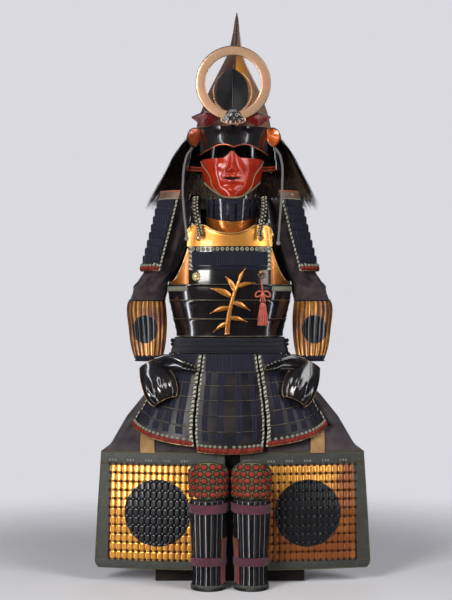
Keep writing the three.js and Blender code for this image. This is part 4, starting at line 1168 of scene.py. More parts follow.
def disc_over_gold(name, x, z, radius, clouds):
    """Gilt lacquer with a black disc painted over it, seen from the front."""
    material, tree, shader = new_material(name, Metallic=0.55, Coat_Weight=0.3)
    surface = gilt_surface(tree, (0.40, 0.165, 0.024), (0.10, 0.026, 0.006), clouds, 1.15)
    apart = add_node(tree, "ShaderNodeSeparateXYZ", {0: object_place(tree)}).outputs
    across = maths(tree, "POWER", maths(tree, "SUBTRACT", apart["X"], x * MM), 2.0)
    raised = maths(tree, "MULTIPLY", maths(tree, "SUBTRACT", apart["Z"], z * MM), 0.9)
    above = maths(tree, "POWER", raised, 2.0)
    away = maths(tree, "SQRT", maths(tree, "ADD", across, above))
    in_front = sized(tree, apart["Y"], 0.0, -0.012)
    inside = maths(tree, "MULTIPLY", sized(tree, away, (radius + 0.6) * MM, (radius - 0.6) * MM), in_front)
    colour = tinted(tree, inside, surface["Color"], (0.006, 0.007, 0.010, 1))
    tree.links.new(colour, shader.inputs["Base Color"])
    rough = tinted(tree, inside, surface["Roughness"], (0.18, 0.18, 0.18, 1))
    tree.links.new(rough, shader.inputs["Roughness"])
    bumped(tree, shader, surface["Height"], 0.3, 0.6)
    return material


# Braided silk: strands cross in a herringbone along the braid, in two or three colours. Each strand is painted darker
# towards its edges, as shade between the strands.
BRAID, entry, leave = new_group(
    "herringbone_braid",
    {
        "Vector": ("vector", None),
        "Width": ("float", 0.008),
        "Pitch": ("float", 0.004),
        "First": ("colour", (0.02, 0.02, 0.05, 1)),
        "Second": ("colour", (0.01, 0.01, 0.02, 1)),
        "Share": ("float", 0.5),
    },
    {"Color": "colour", "Height": "float"},
)
braid_map = add_node(BRAID, "ShaderNodeSeparateXYZ", {0: entry["Vector"]}).outputs
halved = maths(BRAID, "MULTIPLY", entry["Width"], 0.5)
from_middle = maths(BRAID, "ABSOLUTE", maths(BRAID, "SUBTRACT", braid_map["X"], halved))
slanted = maths(BRAID, "MULTIPLY_ADD", from_middle, 0.9)
BRAID.links.new(braid_map["Y"], slanted.node.inputs[2])
phase = maths(BRAID, "FRACT", maths(BRAID, "DIVIDE", slanted, entry["Pitch"]))
strand = sized(BRAID, maths(BRAID, "ABSOLUTE", maths(BRAID, "SUBTRACT", phase, 0.5)), 0.5, 0.1)
which = maths(BRAID, "LESS_THAN", phase, entry["Share"])
shaded = tinted(BRAID, which, entry["Second"], entry["First"])
with_strand_shade = tinted(BRAID, sized(BRAID, strand, 0.0, 0.5, 0.55, 1.0), (0, 0, 0, 1), shaded)
BRAID.links.new(with_strand_shade, leave["Color"])
BRAID.links.new(strand, leave["Height"])


def braided(name, first, second, width, pitch, share=0.5, **values):
    """A silk braid's finish, by its width and the length of one pair of strands, in metres."""
    inputs = {"First": first, "Second": second, "Width": width, "Pitch": pitch, "Share": share}
    return surfaced(name, BRAID, inputs, 0.6, Specular_IOR_Level=0.2, **values)


navy_silk = braided(
    "navy_silk", (0.009, 0.010, 0.026), (0.005, 0.0055, 0.014), 0.008, 0.0045,
    Roughness=0.6, Sheen_Weight=0.12, Sheen_Roughness=0.4,
)


def smooth_place(route, share):
    """A point at a share of the way along a smooth line through the points of a route."""
    last = len(route) - 1
    along = min(max(share, 0), 1) * last
    index = min(int(along), last - 1)
    near = [Vector(route[min(max(index + step, 0), last)]) for step in (-1, 0, 1, 2)]
    t = along - index
    leaving = (near[2] - near[0]) / 2
    arriving = (near[3] - near[1]) / 2
    rise = near[2] - near[1]
    bend = 3 * rise - 2 * leaving - arriving
    turn = leaving + arriving - 2 * rise
    return near[1] + t * (leaving + t * (bend + t * turn))


def route_length(route):
    return sum((b - a).length for a, b in zip(route, route[1:]))


def add_tube(shape, route, radius_at, steps, sides=8, closed=False, finish=0):
    """A round cord or rim along a smooth line through its points; radius_at takes a share."""
    if not callable(radius_at):
        radius = radius_at
        radius_at = lambda share: radius
    ring = list(route) + [route[0]] if closed else route
    centres = [smooth_place(ring, step / steps) for step in range(steps + 1)]
    across = []
    normal = Vector((0.13, -0.9, 0.4))
    for step in range(steps + 1):
        tangent = centres[min(step + 1, steps)] - centres[max(step - 1, 0)]
        tangent.normalize()
        normal = (normal - tangent * normal.dot(tangent)).normalized()
        across.append((normal.copy(), tangent.cross(normal)))

    def place(u, v):
        step = round(v * steps)
        turn = 2 * pi * u
        first, second = across[step]
        return centres[step] + (first * cos(turn) + second * sin(turn)) * radius_at(v)

    size = (2 * pi * radius_at(0.5), route_length(centres))
    made = add_sheet(shape, sides, steps, place, size, finish)
    bmesh.ops.remove_doubles(shape, verts=made, dist=1e-6)
    if not closed:
        open_edges = [edge for edge in shape.edges if edge.is_boundary]
        bmesh.ops.holes_fill(shape, edges=open_edges, sides=sides)


for side, name in SIDES:
    place = on_side(side, sleeve_point)
    shape = new_shape()
    tube = add_sheet(shape, 72, 96, place, (0.31, 0.5))
    bmesh.ops.remove_doubles(shape, verts=tube, dist=1e-6)
    nodes = (f"sleeve_upper_{name}", f"sleeve_lower_{name}")
    cloth = finish_piece(f"sleeve_cloth_{name}", shape, sleeve_cloth, "dark_cloth", nodes, 1.8)
    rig.sheet(cloth, flat=(0.33, 0.50), held="hung", rests_on=["stand_frame"])
    guard = on_side(side, guard_point)
    shape = new_shape()
    add_sheet(shape, 48, 20, lambda u, v: guard(u, v, -1.5), (0.22, 0.17))
    finish_piece(f"arm_mail_{name}", shape, mail, "black_lacquer", f"forearm_guard_{name}", 1.2)
    shape = new_shape()
    for rib in range(RIBS):
        left = (rib + 0.09) / RIBS
        right = (rib + 0.91) / RIBS
        add_sheet(shape, 5, 16, part_of(guard, left, right, 0.02, 0.98, 2.4, 2.0, -0.6))
    gilt = disc_over_gold(f"gilt_ribs_{name}", side * ARM_DISC["x"], ARM_DISC["z"], ARM_DISC["radius"], 9.0)
    finish_piece(f"arm_ribs_{name}", shape, gilt, "gold_lacquer", (), 1.2, 0.4)
    shape = new_shape()
    for height, radius in ((GUARD_HIGH, 1.7), (GUARD_LOW, 2.0), (GUARD_LOW + 4, 1.6)):
        loop = [oval_point(SLEEVE, angle, height, 3.4) for angle in range(-180, 180, 12)]
        add_tube(shape, flipped(side, loop), radius * MM, 72, 6, closed=True)
    finish_piece(f"arm_cords_{name}", shape, navy_silk, "navy_lacing")

# ---------- Hand guards ----------
# A lacquered plate beaten up over the knuckles, with a smaller one laced on for the thumb, and
# a thin gilt rim round both.
HAND = [  # middle x, y, z, half width, rise
    (236, -132, 632, 36, 16),
    (227, -150, 606, 45, 24),
    (212, -168, 574, 51, 30),
    (199, -180, 543, 46, 28),
    (191, -182, 524, 34, 20),
]
THUMB = [
    (214, -148, 628, 20, 14),
    (176, -164, 634, 22, 14),
    (136, -176, 626, 18, 11),
    (102, -180, 616, 10, 7),
]
HAND_ACROSS = Vector((0.89, 0.1, -0.44)).normalized()
HAND_OUTWARD = Vector((0.3, -0.86, 0.4)).normalized()
THUMB_ACROSS = Vector((0.2, -0.2, 0.96)).normalized()
THUMB_OUTWARD = Vector((-0.25, -0.95, 0.1)).normalized()
KNUCKLES = (0.20, 0.40, 0.60, 0.80)


def arched(table, share, angle, across, outward, out):
    """A point of a plate arched across a line of rows."""
    row = smooth_row(table, share)
    middle = Vector(row[:3]) * MM
    side = across * row[3] * sin(radians(angle)) * MM
    rise = outward * (row[4] * cos(radians(angle)) - row[4] + out) * MM
    return middle + side + rise


def smooth_row(table, share):
    """All columns of a table at a share of its length, on a smooth curve."""
    first = smooth_place([row[:3] for row in table], share)
    rest = smooth_place([(row[3], row[4], 0) for row in table], share)
    return [*first, rest.x, rest.y]


def hand_place(u, v, out=0.0):
    """The back of the hand: four ridges run down from the knuckles to the finger ends."""
    ridge = sum(swell(u - knuckle, 0.055) for knuckle in KNUCKLES)
    along = swell(v - 0.40, 0.17) + 0.45 * swell(v - 0.10, 0.10)
    fist = 3.5 * swell(v - 0.36, 0.16)
    return arched(HAND, 1 - v, mix(-84, 84, u), HAND_ACROSS, HAND_OUTWARD, out + 5.0 * ridge * along + fist)


def thumb_place(u, v, out=0.0):
    bead = 2.5 * swell(v - 0.35, 0.18) * cushion(u)
    return arched(THUMB, 1 - v, mix(-80, 80, u), THUMB_ACROSS, THUMB_OUTWARD, out + bead)


gilt_rim = gilded("gilt_rim", (0.40, 0.26, 0.11), (0.08, 0.045, 0.02), 30.0, 1.0, Metallic=0.7)
cream_silk = braided(
    "cream_silk", (0.46, 0.45, 0.35), (0.22, 0.22, 0.16), 0.006, 0.004, Roughness=0.7, Sheen_Weight=0.3
)


def rim_route(place, count=12):
    """Points right round a plate's edge."""
    edge = [(step / count, 0.0) for step in range(count)]
    edge += [(1.0, step / count) for step in range(count)]
    edge += [(1 - step / count, 1.0) for step in range(count)]
    edge += [(0.0, 1 - step / count) for step in range(count)]
    return [place(u, v, 0.2) for u, v in edge]


for side, name in SIDES:
    hand = on_side(side, hand_place)
    thumb = on_side(side, thumb_place)
    shape = new_shape()
    add_sheet(shape, 60, 48, hand)
    add_sheet(shape, 30, 30, thumb)
    finish_piece(f"hand_plate_{name}", shape, black_lacquer, "black_lacquer", f"hand_guard_{name}", 1.6, 0.5)
    shape = new_shape()
    add_tube(shape, rim_route(hand), 1.0 * MM, 144, 6, closed=True)
    add_tube(shape, rim_route(thumb), 0.9 * MM, 96, 6, closed=True)
    finish_piece(f"hand_rim_{name}", shape, gilt_rim, "gold_lacquer")
    shape = new_shape()
    for step in range(4):
        for height in (0.30, 0.70):
            spot = surface_frame(thumb, height, 0.10 + step * 0.09, 0.6)
            add_bead(shape, spot, 4.0, 8.0, 3.0)
    finish_piece(f"thumb_lacing_{name}", shape, cream_silk, "braid")
    shape = new_shape()
    for height in (SLEEVE_FOOT - 5, SLEEVE_FOOT + 1):
        loop = [oval_point(SLEEVE, angle, height, 1.5) for angle in range(-180, 180, 15)]
        add_tube(shape, flipped(side, loop), 2.4 * MM, 72, 6, closed=True)
    finish_piece(f"wrist_cord_{name}", shape, navy_silk, "navy_lacing")

# ---------- Cuirass ----------
# Five lacquered iron lames, riveted at their overlaps and hinged at the wearer's left side. The
# gold breastplate, its side plates and the close-laced lame above them are built on the same form.
TORSO = {
    "roundness": 2.4,
    "rows": [
        (640, 0, 0, 165, 126), (704, 0, 0, 158, 119), (757, 0, 0, 168, 126), (812, 0, 0, 180, 132),
        (850, 0, 0, 184, 135), (914, 0, 0, 181, 134), (969, 0, 0, 172, 126),
        (1031, 0, 0, 158, 112), (1090, 0, 0, 142, 96),
    ],
}
WAIST = 704
ARMHOLE = 858
CHEST_LINE = 969


def chest_point(side, height, out=0.0):
    """A point of the cuirass's front, by its distance from the middle line."""
    half_width = row_at(TORSO["rows"], height)[3]
    share = min(abs(side) / half_width, 1) ** (TORSO["roundness"] / 2)
    angle = copysign(degrees(asin(share)), side)
    return oval_point(TORSO, angle, height, out)


def hoop(start, end, low, high):
    """One lame between two angles; its upper edge is turned out in a narrow lip."""

    def place(u, v, out=0.0):
        lip = 0.3 + 2.2 * max(0, (v - 0.88) / 0.12) ** 1.5
        return oval_point(TORSO, mix(start, end, u), mix(low, high, v), out + lip)

    return place


worn_edge = lacquered(
    "worn_lacquer_edge", (0.10, 0.085, 0.06), (0.30, 0.24, 0.15), 0.8, 0.25, 40.0, Metallic=0.4
)


def add_line(shape, place, start, end, level, radius, steps, sides=5):
    """A thin raised line along a surface at one level."""
    route = [place(mix(start, end, step / steps), level, 0.3) for step in range(steps + 1)]
    add_tube(shape, route, radius * MM, steps * 2, sides)


HOOPS = ((812, ARMHOLE, "front_lame_2"), (757, 812, "front_lame_3"), (WAIST, 757, "front_lame_4"))
for low, high, node in HOOPS:
    shape = new_shape()
    add_sheet(shape, 72, 18, hoop(-89.8, 89.8, low, high - 0.3))
    finish_piece(f"{node}_plate", shape, black_lacquer, "black_lacquer", node, 1.8, 0.5)
shape = new_shape()
for low, high, node in HOOPS:
    add_sheet(shape, 64, 16, hoop(90.2, 269.8, low, high - 0.3))
finish_piece("back_lames", shape, black_lacquer, "black_lacquer", "back_lower", 1.8, 0.5)
shape = new_shape()
for low, high, node in HOOPS:
    for start, end in ((-89.5, 89.5), (90.5, 269.5)):
        add_line(shape, hoop(start, end, low, high - 0.3), 0, 1, 1.0, 1.0, 40)
add_line(shape, hoop(-89.5, 89.5, WAIST, 757), 0, 1, 0.03, 1.3, 40)
finish_piece("lame_edges", shape, worn_edge, "gold_lacquer")
shape = new_shape()
for side in (-1, 1):
    for low, high, node in HOOPS:
        for share in (0.14, 0.5, 0.86):
            height = mix(low, high, share)
            for turn in (84.5, 95.5):
                rivet = surface_frame(hoop(-180, 180, low, high), 0.5 + side * turn / 360, share, 0.4)
                add_bead(shape, rivet, 5, 5, 3)
finish_piece("lame_rivets", shape, worn_edge, "gold_lacquer")

# ---------- Back plate and shoulder straps ----------
# Three deeper lames rise between the shoulder blades. Straps of lacquered leather are riveted
# to the top one and come over the shoulders to the breastplate.
STRAP = [  # y and height along the strap, from the back
    (88, 1062), (86, 1092), (66, 1116), (24, 1126), (-30, 1120), (-80, 1090), (-106, 1052),
    (-113, 1036),
]
BACK_FROM = 100
BACK_TO = 260


def back_place(u, v, out=0.0):
    angle = mix(BACK_FROM, BACK_TO, u)
    side = abs(sin(radians(angle)))
    drop = min(max((side - 0.62) / 0.36, 0), 1) ** 0.8
    height = mix(ARMHOLE + 0.3, mix(1088, ARMHOLE + 14, drop), v)
    step = (height - ARMHOLE) / 58
    lip = 0.3 + 1.8 * max(0, (step % 1 - 0.86) / 0.14) ** 1.5 if step < 3.9 else 0.3
    return oval_point(TORSO, angle, height, out + lip)


def strap_place(u, v, out=0.0):
    """The strap runs from the back, v = 1, over the shoulder to the front, v = 0."""
    route = [(0, y, z) for y, z in STRAP]
    here = smooth_place(route, 1 - v)
    ahead = smooth_place(route, min(1 - v + 0.01, 1)) - smooth_place(route, max(1 - v - 0.01, 0))
    upwards = Vector((0, ahead.z, -ahead.y)).normalized()
    if upwards.z < 0 and ahead.y < 0 or v < 0.2 and upwards.y > 0:
        upwards = -upwards
    return (Vector((mix(85, 119, u), here.y, here.z)) + upwards * out) * MM


shape = new_shape()
add_sheet(shape, 64, 64, back_place)
for side in (1, -1):
    add_sheet(shape, 8, 40, on_side(side, lambda u, v, out=0.0: strap_place(u, v, 3.2 * cushion(u, 6))))
finish_piece("back_plate", shape, black_lacquer, "black_lacquer", "back_upper", 2.0, 0.6)
shape = new_shape()
edge = [back_place(0, step / 10, -0.5) for step in range(11)]
edge += [back_place(step / 40, 1, -0.5) for step in range(1, 41)]
edge += [back_place(1, 1 - step / 10, -0.5) for step in range(1, 11)]
add_tube(shape, edge, 2.4 * MM, 200, 6)
finish_piece("back_rim", shape, border_leather, "printed_leather")

# ---------- Breastplate ----------
# One gilt iron plate with its neck edge turned out, and a curved gilt plate on each side below
# the arm. They are riveted over the laced lame.
NECKLINE = [  # distance from the middle, height
    (0, 1006), (30, 1010), (55, 1021), (68, 1030), (100, 1032), (116, 1022), (124, 996),
]


def breast_place(u, v, out=0.0):
    side = mix(-123, 123, u)
    top = row_at(NECKLINE, abs(side))[1]
    turned = 2.6 * max(0, (v - 0.8) / 0.2) ** 2
    return chest_point(side, mix(CHEST_LINE, top, v), out + 3 + turned)


def side_plate_place(u, v, out=0.0):
    side = mix(120.3, 176, u)
    top = ARMHOLE + 6 + 100 * (1 - u) ** 1.9
    return chest_point(side, mix(ARMHOLE + 0.3, top, v), out + 0.5 + 1.6 * max(0, (v - 0.9) / 0.1))


breast_gold = gilded(
    "breast_gilding", (0.74, 0.34, 0.06), (0.34, 0.11, 0.020), 7.0, 0.65, 0.08,
    Metallic=0.75, Coat_Weight=0.4,
)
shape = new_shape()
add_sheet(shape, 72, 16, breast_place)
# The side plates take a darker, more orange copy of the breastplate's gilt: painted shade on plates that turn away
# from the light.
shaded_side_gold = gilded(
    "shaded_side_gilding", (0.46, 0.16, 0.018), (0.21, 0.050, 0.008), 7.0, 0.8, 0.08,
    Metallic=0.75, Coat_Weight=0.3,
)
finish_piece("breastplate", shape, breast_gold, "gold_lacquer", "chest_plate", 1.8, 0.6)
shape = new_shape()
rim = [breast_place(step / 36, 1, 0.6) for step in range(37)]
add_tube(shape, rim, 1.7 * MM, 150, 6)
for side in (1, -1):
    place = on_side(side, side_plate_place)
    add_tube(shape, [place(step / 12, 1, 0.6) for step in range(13)], 1.5 * MM, 50, 6)
bright_rim = gilded(
    "bright_rim", (0.90, 0.62, 0.26), (0.55, 0.28, 0.08), 20.0, 0.6, Metallic=0.8, Coat_Weight=0.4
)
finish_piece("breast_rims", shape, bright_rim, "gold_lacquer")
for side, name in SIDES:
    shape = new_shape()
    add_sheet(shape, 18, 14, on_side(side, side_plate_place))
    finish_piece(f"side_plate_gilt_{name}", shape, shaded_side_gold, "gold_lacquer", f"side_plate_{name}", 1.8, 0.5)

# ---------- Lacing of the breast ----------
# Narrow navy braids lie side by side over the top lame, with a row of cream knots along their
# head, a ribbed strip at their foot and a striped braid down each end.
LACED_HALF = 120


def band_place(low, high):
    return lambda u, v, out=0.0: chest_point(mix(-LACED_HALF, LACED_HALF, u), mix(low, high, v), out)


def add_lace(shape, place, left, right, size, rise=1.4, out=0.0, rows=6):
    """One flat braid, standing a little proud of what it crosses."""
    add_sheet(shape, 4, rows, part_of(place, left, right, 0, 1, rise, 2.5, out), size)


striped_braid = braided(
    "striped_braid", (0.42, 0.42, 0.33), (0.012, 0.012, 0.014), 0.010, 0.013, 0.64,
    Roughness=0.7, Sheen_Weight=0.2,
)
shape = new_shape()
add_sheet(shape, 60, 4, band_place(ARMHOLE + 0.2, 899))
add_sheet(shape, 60, 4, lambda u, v: band_place(899, CHEST_LINE - 0.5)(u, v, -1.0))
finish_piece("top_lame", shape, black_lacquer, "black_lacquer", "front_lame_1", 1.6, 0.3)
shape = new_shape()
BRAIDS = 34
for braid in range(BRAIDS):
    left = mix(0.035, 0.965, (braid + 0.04) / BRAIDS)
    right = mix(0.035, 0.965, (braid + 0.96) / BRAIDS)
    add_lace(shape, band_place(913, 953), left, right, (0.008, 0.04), 1.5, 1.4)
STRIP_RIBS = 60
for rib in range(STRIP_RIBS):
    left = mix(0.03, 0.97, (rib + 0.1) / STRIP_RIBS)
    right = mix(0.03, 0.97, (rib + 0.9) / STRIP_RIBS)
    add_lace(shape, band_place(900, 912), left, right, (0.008, 0.012), 1.2, 0.4, 2)
finish_piece("breast_lacing", shape, navy_silk, "navy_lacing")
shape = new_shape()
KNOTS = 16
for knot in range(KNOTS):
    across = mix(0.055, 0.945, knot / (KNOTS - 1))
    spot = surface_frame(band_place(952, CHEST_LINE), across, 0.52, 1.6)
    add_bead(shape, spot, 12.5, 14, 5, 0)
    add_bead(shape, spot, 5, 6, 7, 1)
finish_piece("breast_knots", shape, [cream_silk, navy_silk], "braid")
shape = new_shape()
for left in (0.004, 0.952):
    add_lace(shape, band_place(900, 968), left, left + 0.046, (0.012, 0.068), 3.0, 1.2, 16)
finish_piece("breast_edge_braids", shape, striped_braid, "braid")
shape = new_shape()
for side in (1, -1):
    for height in (842.0, 848.5):
        zigzag = []
        for step in range(19):
            level = height + (3.2 if step % 2 else -3.2)
            zigzag.append(chest_point(mix(122, 181, step / 18), level, 3.4))
        add_tube(shape, flipped(side, zigzag), 1.5 * MM, 72, 5)
finish_piece("zigzag_lacing", shape, cream_silk, "braid")

# ---------- Toggles and rosettes ----------
# The straps close on the breastplate with four-strand silk braids; each ends in a ring on a
# metal stud. A flower rosette is riveted at one breast and a ring stud at the other.
TOGGLE = [  # x, y, z down the braid
    (100, -104, 1112), (101, -117, 1092), (99, -126, 1066), (94, -131, 1038), (89, -134, 1016),
    (86, -135, 1000),
]
black_silk = woven("black_silk", (0.016, 0.016, 0.02), (0.008, 0.008, 0.01), 900.0, Roughness=0.6)
pale_silk = woven("pale_silk", (0.50, 0.46, 0.33), (0.30, 0.27, 0.18), 900.0, 60.0, Roughness=0.7)


def strand_route(route, turns, offset, phase, count):
    """Points of one strand twisted round a smooth line."""
    found = []
    for step in range(count + 1):
        share = step / count
        ahead = smooth_place(route, min(share + 0.01, 1)) - smooth_place(route, max(share - 0.01, 0))
        ahead.normalize()
        first = ahead.cross(Vector((0, 1, 0))).normalized()
        second = ahead.cross(first)
        turn = 2 * pi * turns * share + phase
        found.append(smooth_place(route, share) + (first * cos(turn) + second * sin(turn)) * offset)
    return found


def add_ring(shape, frame_at, radius, thick, finish=0, steps=24):
    """A round ring of wire lying on a surface."""
    points = []
    for step in range(steps):
        turn = 2 * pi * step / steps
        points.append(frame_at @ Vector((radius * MM * cos(turn), radius * MM * sin(turn), 0)))
    add_tube(shape, points, thick * MM, steps * 2, 6, closed=True, finish=finish)


def stud_frame(side, height, out):
    """The place of a round part on the cuirass's front, facing forwards."""
    return Matrix.Translation(chest_point(side, height, out)) @ Matrix.Rotation(pi / 2, 4, "X")


STUD_X = 87
ring_copper = gilded("ring_copper", (0.48, 0.27, 0.13), (0.12, 0.06, 0.035), 30.0, 0.9, Metallic=0.85)
for side, name in SIDES:
    route = [Vector((side * x, y, z)) * MM for x, y, z in TOGGLE]
    shape = new_shape()
    add_tube(shape, route, 5.6 * MM, 40, 10, finish=1)
    for strand in range(2):
        points = strand_route(route, 6.5, 4.6 * MM, pi * strand, 60)
        add_tube(shape, points, 2.7 * MM, 120, 6, finish=1)
    for column in range(4):
        points = strand_route(route, 0.0, 5.6 * MM, pi / 2 * column + 0.4, 26)
        for step in range(column % 2, 26, 2):
            spot = Matrix.Translation(points[step])
            add_bead(shape, spot @ Matrix.Rotation(0.5 if step % 4 < 2 else -0.5, 4, "Y"), 6.4, 8.2, 6.4)
    finish_piece(f"toggle_braid_{name}", shape, [pale_silk, black_silk], "braid", f"toggle_{name}")
    shape = new_shape()
    for height, radius in ((1000, 6.5), (1010, 5.0)):
        add_ring(shape, stud_frame(side * STUD_X, height - 6, 9), radius, 1.7)
    add_bead(shape, stud_frame(side * STUD_X, 993, 5), 17, 17, 6)
    finish_piece(f"toggle_ring_{name}", shape, ring_copper, "pale_copper")
FLOWER = (-95, 880)
shape = new_shape()
for petal in range(8):
    turn = 2 * pi * petal / 8
    aside = (8.2 * MM * cos(turn), 8.2 * MM * sin(turn), 0)
    middle = stud_frame(*FLOWER, 3.4) @ Matrix.Translation(aside)
    add_bead(shape, middle @ Matrix.Rotation(turn, 4, "Z"), 9, 6.2, 4)
add_bead(shape, stud_frame(*FLOWER, 2.5), 16, 16, 6)
add_bead(shape, stud_frame(*FLOWER, 4.5), 6, 6, 7)
add_ring(shape, stud_frame(*FLOWER, 2.0), 12.2, 1.0)
flower = gilded("rosette_gilding", (0.62, 0.50, 0.24), (0.20, 0.13, 0.06), 60.0, 0.9, Metallic=0.8)
finish_piece("rosette_flower", shape, flower, "pale_copper", "rosette_left")
shape = new_shape()
add_bead(shape, stud_frame(91, 892, 3.0), 17, 17, 10)
add_ring(shape, stud_frame(91, 884, 5.0) @ Matrix.Rotation(0.35, 4, "X"), 9.5, 1.6)
finish_piece("rosette_stud", shape, ring_copper, "pale_copper", "rosette_right")

# ---------- Tassel ----------
# A coral silk cord knotted through the ring, with a bow in it and a full tassel of floss below.
TASSEL_CORD = [
    (91, -142, 872), (91.6, -142.8, 867), (92.3, -143.4, 862), (93, -144, 857),
    (93.6, -144.4, 852), (94.2, -144.7, 847), (94.8, -145, 842), (95.3, -145, 837),
    (95.7, -145, 832), (96, -145, 827), (96, -145, 822), (96, -145, 817), (96, -145, 812),
    (96, -145, 808), (96, -145, 805),
]
coral_silk = braided(
    "coral_silk", (0.74, 0.17, 0.085), (0.50, 0.085, 0.045), 0.012, 0.004, Roughness=0.6, Sheen_Weight=0.4
)
shape = new_shape()
route = [Vector(point) * MM for point in TASSEL_CORD]
add_tube(shape, route, 2.0 * MM, 42, 8)
hanging = finish_piece("tassel_hanging_cord", shape, coral_silk, "coral_silk", "tassel_cord")
shape = new_shape()
for side in (1, -1):
    loop = []
    for x, z, forward in ((0, 832, 3), (9, 838, 5), (19, 833, 6), (21, 823, 5), (12, 822, 5), (2, 829, 4)):
        loop.append(Vector((95.6 + side * x, -145 - forward, z)) * MM)
    add_tube(shape, loop, 2.0 * MM, 40, 7)
    tail_points = ((1, 4, 828), (5, 6, 818), (7, 5, 806))
    tail = [Vector((95.6 + side * x, -145 - y, z)) * MM for x, y, z in tail_points]
    add_tube(shape, tail, 1.8 * MM, 16, 7)
knot = Matrix.Translation(Vector((95.7, -149, 829)) * MM)
add_bead(shape, knot, 9, 8, 9)
bow = finish_piece("tassel_bow", shape, coral_silk, "coral_silk")
coral_floss = woven(
    "coral_floss", (0.66, 0.16, 0.10), (0.40, 0.06, 0.04), 300.0, 60.0, Roughness=0.75, Sheen_Weight=0.5
)
TASSEL_FORM = [  # height, radius
    (739, 14.5), (752, 13.6), (766, 12.6), (784, 9.6), (796, 8.2), (803, 4.5)
]
TASSEL_X = 96
TASSEL_Y = -150
shape = new_shape()
for strand in range(60):
    layer = (0.62, 0.82, 1.0)[strand % 3]
    turn = strand * 2.39996
    wander = 0.05 * sin(strand * 5.1)
    points = []
    for height, radius in reversed(TASSEL_FORM):
        reach = radius * layer
        drop = height - (1.8 * sin(strand * 3.7) if height < 745 else 0)
        swing = turn + wander * (TASSEL_FORM[-1][0] - height) / 12
        x = TASSEL_X + reach * cos(swing)
        y = TASSEL_Y + reach * 0.8 * sin(swing)
        points.append(Vector((x, y, drop)) * MM)
    add_tube(shape, points, 1.25 * MM, 12, 5)
for height, radius in ((801, 5.4), (794, 8.6)):
    neck = Matrix.Translation(Vector((TASSEL_X, TASSEL_Y, height)) * MM)
    add_ring(shape, neck, radius, 1.5)
floss = finish_piece("tassel_floss", shape, coral_floss, "coral_silk", "tassel")
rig.cord(
    hanging, exit=route[0], length=route_length(route), diameter=0.004, far_end="knot",
    stiffness="limp", lay="hanging", path=route, with_pieces=[bow, floss],
)

# ---------- Front ornament ----------
# A spray of bamboo in raised gilt lacquer: a jointed cane and slender leaves with a midrib.
CANE = [  # height, middle, half width
    (712, -8, 8.0),
    (770, -2, 7.0),
    (822, 10, 6.0),
    (868, 26, 5.0),
]
SPRIG_LEAVES = [  # foot x, foot z, length, angle from level
    (4, 822, 62, 158), (0, 790, 58, 198), (14, 838, 50, 122), (26, 866, 42, 64), (20, 850, 52, 12),
    (8, 806, 56, -28), (-2, 760, 52, -14), (-4, 746, 50, 214),
]
sprig_gold = gilded(
    "sprig_gilding", (0.62, 0.25, 0.045), (0.32, 0.11, 0.025), 16.0, 0.8, Metallic=0.6, Coat_Weight=0.3
)


def cane_place(u, v, out=0.0):
    height = mix(CANE[0][0], CANE[-1][0], v)
    x, half = row_at(CANE, height)[1:]
    joint = min(abs(v - level) for level in (0.0, 0.26, 0.50, 0.72, 0.92))
    thicker = 1 + 0.16 * swell(joint, 0.012) - 0.06 * swell(joint, 0.05)
    rise = 5.5 * thicker * sqrt(cushion(u))
    return chest_point(x + mix(-half, half, u) * thicker, height, out + 2 + rise)


def sprig_leaf_place(leaf):
    foot_x, foot_z, length, angle = leaf
    along = Vector((cos(radians(angle)), sin(radians(angle))))
    across = Vector((-along.y, along.x))

    def place(u, v, out=0.0):
        half = 0.13 * length * (0.16 + 0.84 * sin(pi * min(v, 1) ** 0.62)) * (1 - v**6)
        droop = 0.07 * length * sin(pi * v) * (1 if along.x > 0 else -1)
        spot = along * v * length + across * (mix(half, -half, u) + droop)
        rise = 1.2 + 2.6 * cushion(u) + 1.5 * swell(u - 0.5, 0.07) + 1.5 * sin(2 * v)
        return chest_point(foot_x + spot.x, foot_z + spot.y, out + 2 + rise)

    return place


shape = new_shape()
add_sheet(shape, 12, 120, cane_place)
for leaf in SPRIG_LEAVES:
    add_sheet(shape, 12, 20, sprig_leaf_place(leaf))
bmesh.ops.recalc_face_normals(shape, faces=shape.faces)
finish_piece("bamboo_spray", shape, sprig_gold, "gold_lacquer", "front_ornament", 1.5)

# ---------- Sash ----------
# A length of navy silk crepe, folded to a hand's width and wound closely over the waist; its
# ends are tucked in behind. Small knotted cords stand over it at the sides.
SASH_FOOT = 656
SASH_TOP = 701
SASH = {
    "roundness": 2.4,
    "rows": [
        (SASH_FOOT, 0, 0, 176, 133),
        (676, 0, 0, 170, 130),
        (SASH_TOP, 0, 0, 164, 125),
    ],
}
SASH_CREASES = [  # each from one place to another, by shares round from behind and up
    ((0.28, 0.22), (0.52, 0.40), 0.050, -1.6),
    ((0.47, 0.62), (0.74, 0.50), 0.055, 1.5),
    ((0.33, 0.80), (0.49, 0.70), 0.045, -1.3),
    ((0.55, 0.30), (0.69, 0.18), 0.050, 1.4),
    ((0.40, 0.12), (0.60, 0.09), 0.040, -1.2),
    ((0.52, 0.86), (0.66, 0.78), 0.040, 1.3),
    ((0.26, 0.50), (0.40, 0.56), 0.050, 1.4),
    ((0.60, 0.64), (0.76, 0.76), 0.045, -1.4),
    ((0.02, 0.30), (0.24, 0.44), 0.055, 1.5),
    ((0.06, 0.72), (0.22, 0.62), 0.045, -1.3),
    ((0.77, 0.40), (0.97, 0.28), 0.055, 1.5),
    ((0.80, 0.78), (0.95, 0.66), 0.045, -1.4),
]


def sash_place(u, v):
    """Four folds of the silk lie one over another; each upper one is a little proud."""
    turn = 2 * pi * u
    level = v * 3.6 + 0.22 * sin(turn + 0.6) + 0.12 * sin(2 * turn)
    fold = 1.6 * (level % 1) ** 2
    folds = crease_depth(SASH_CREASES, u, v) + fold
    ends = cushion(v, 6)
    return oval_point(SASH, mix(-180, 180, u), mix(SASH_FOOT, SASH_TOP, v), folds * ends + 1.0 * ends)


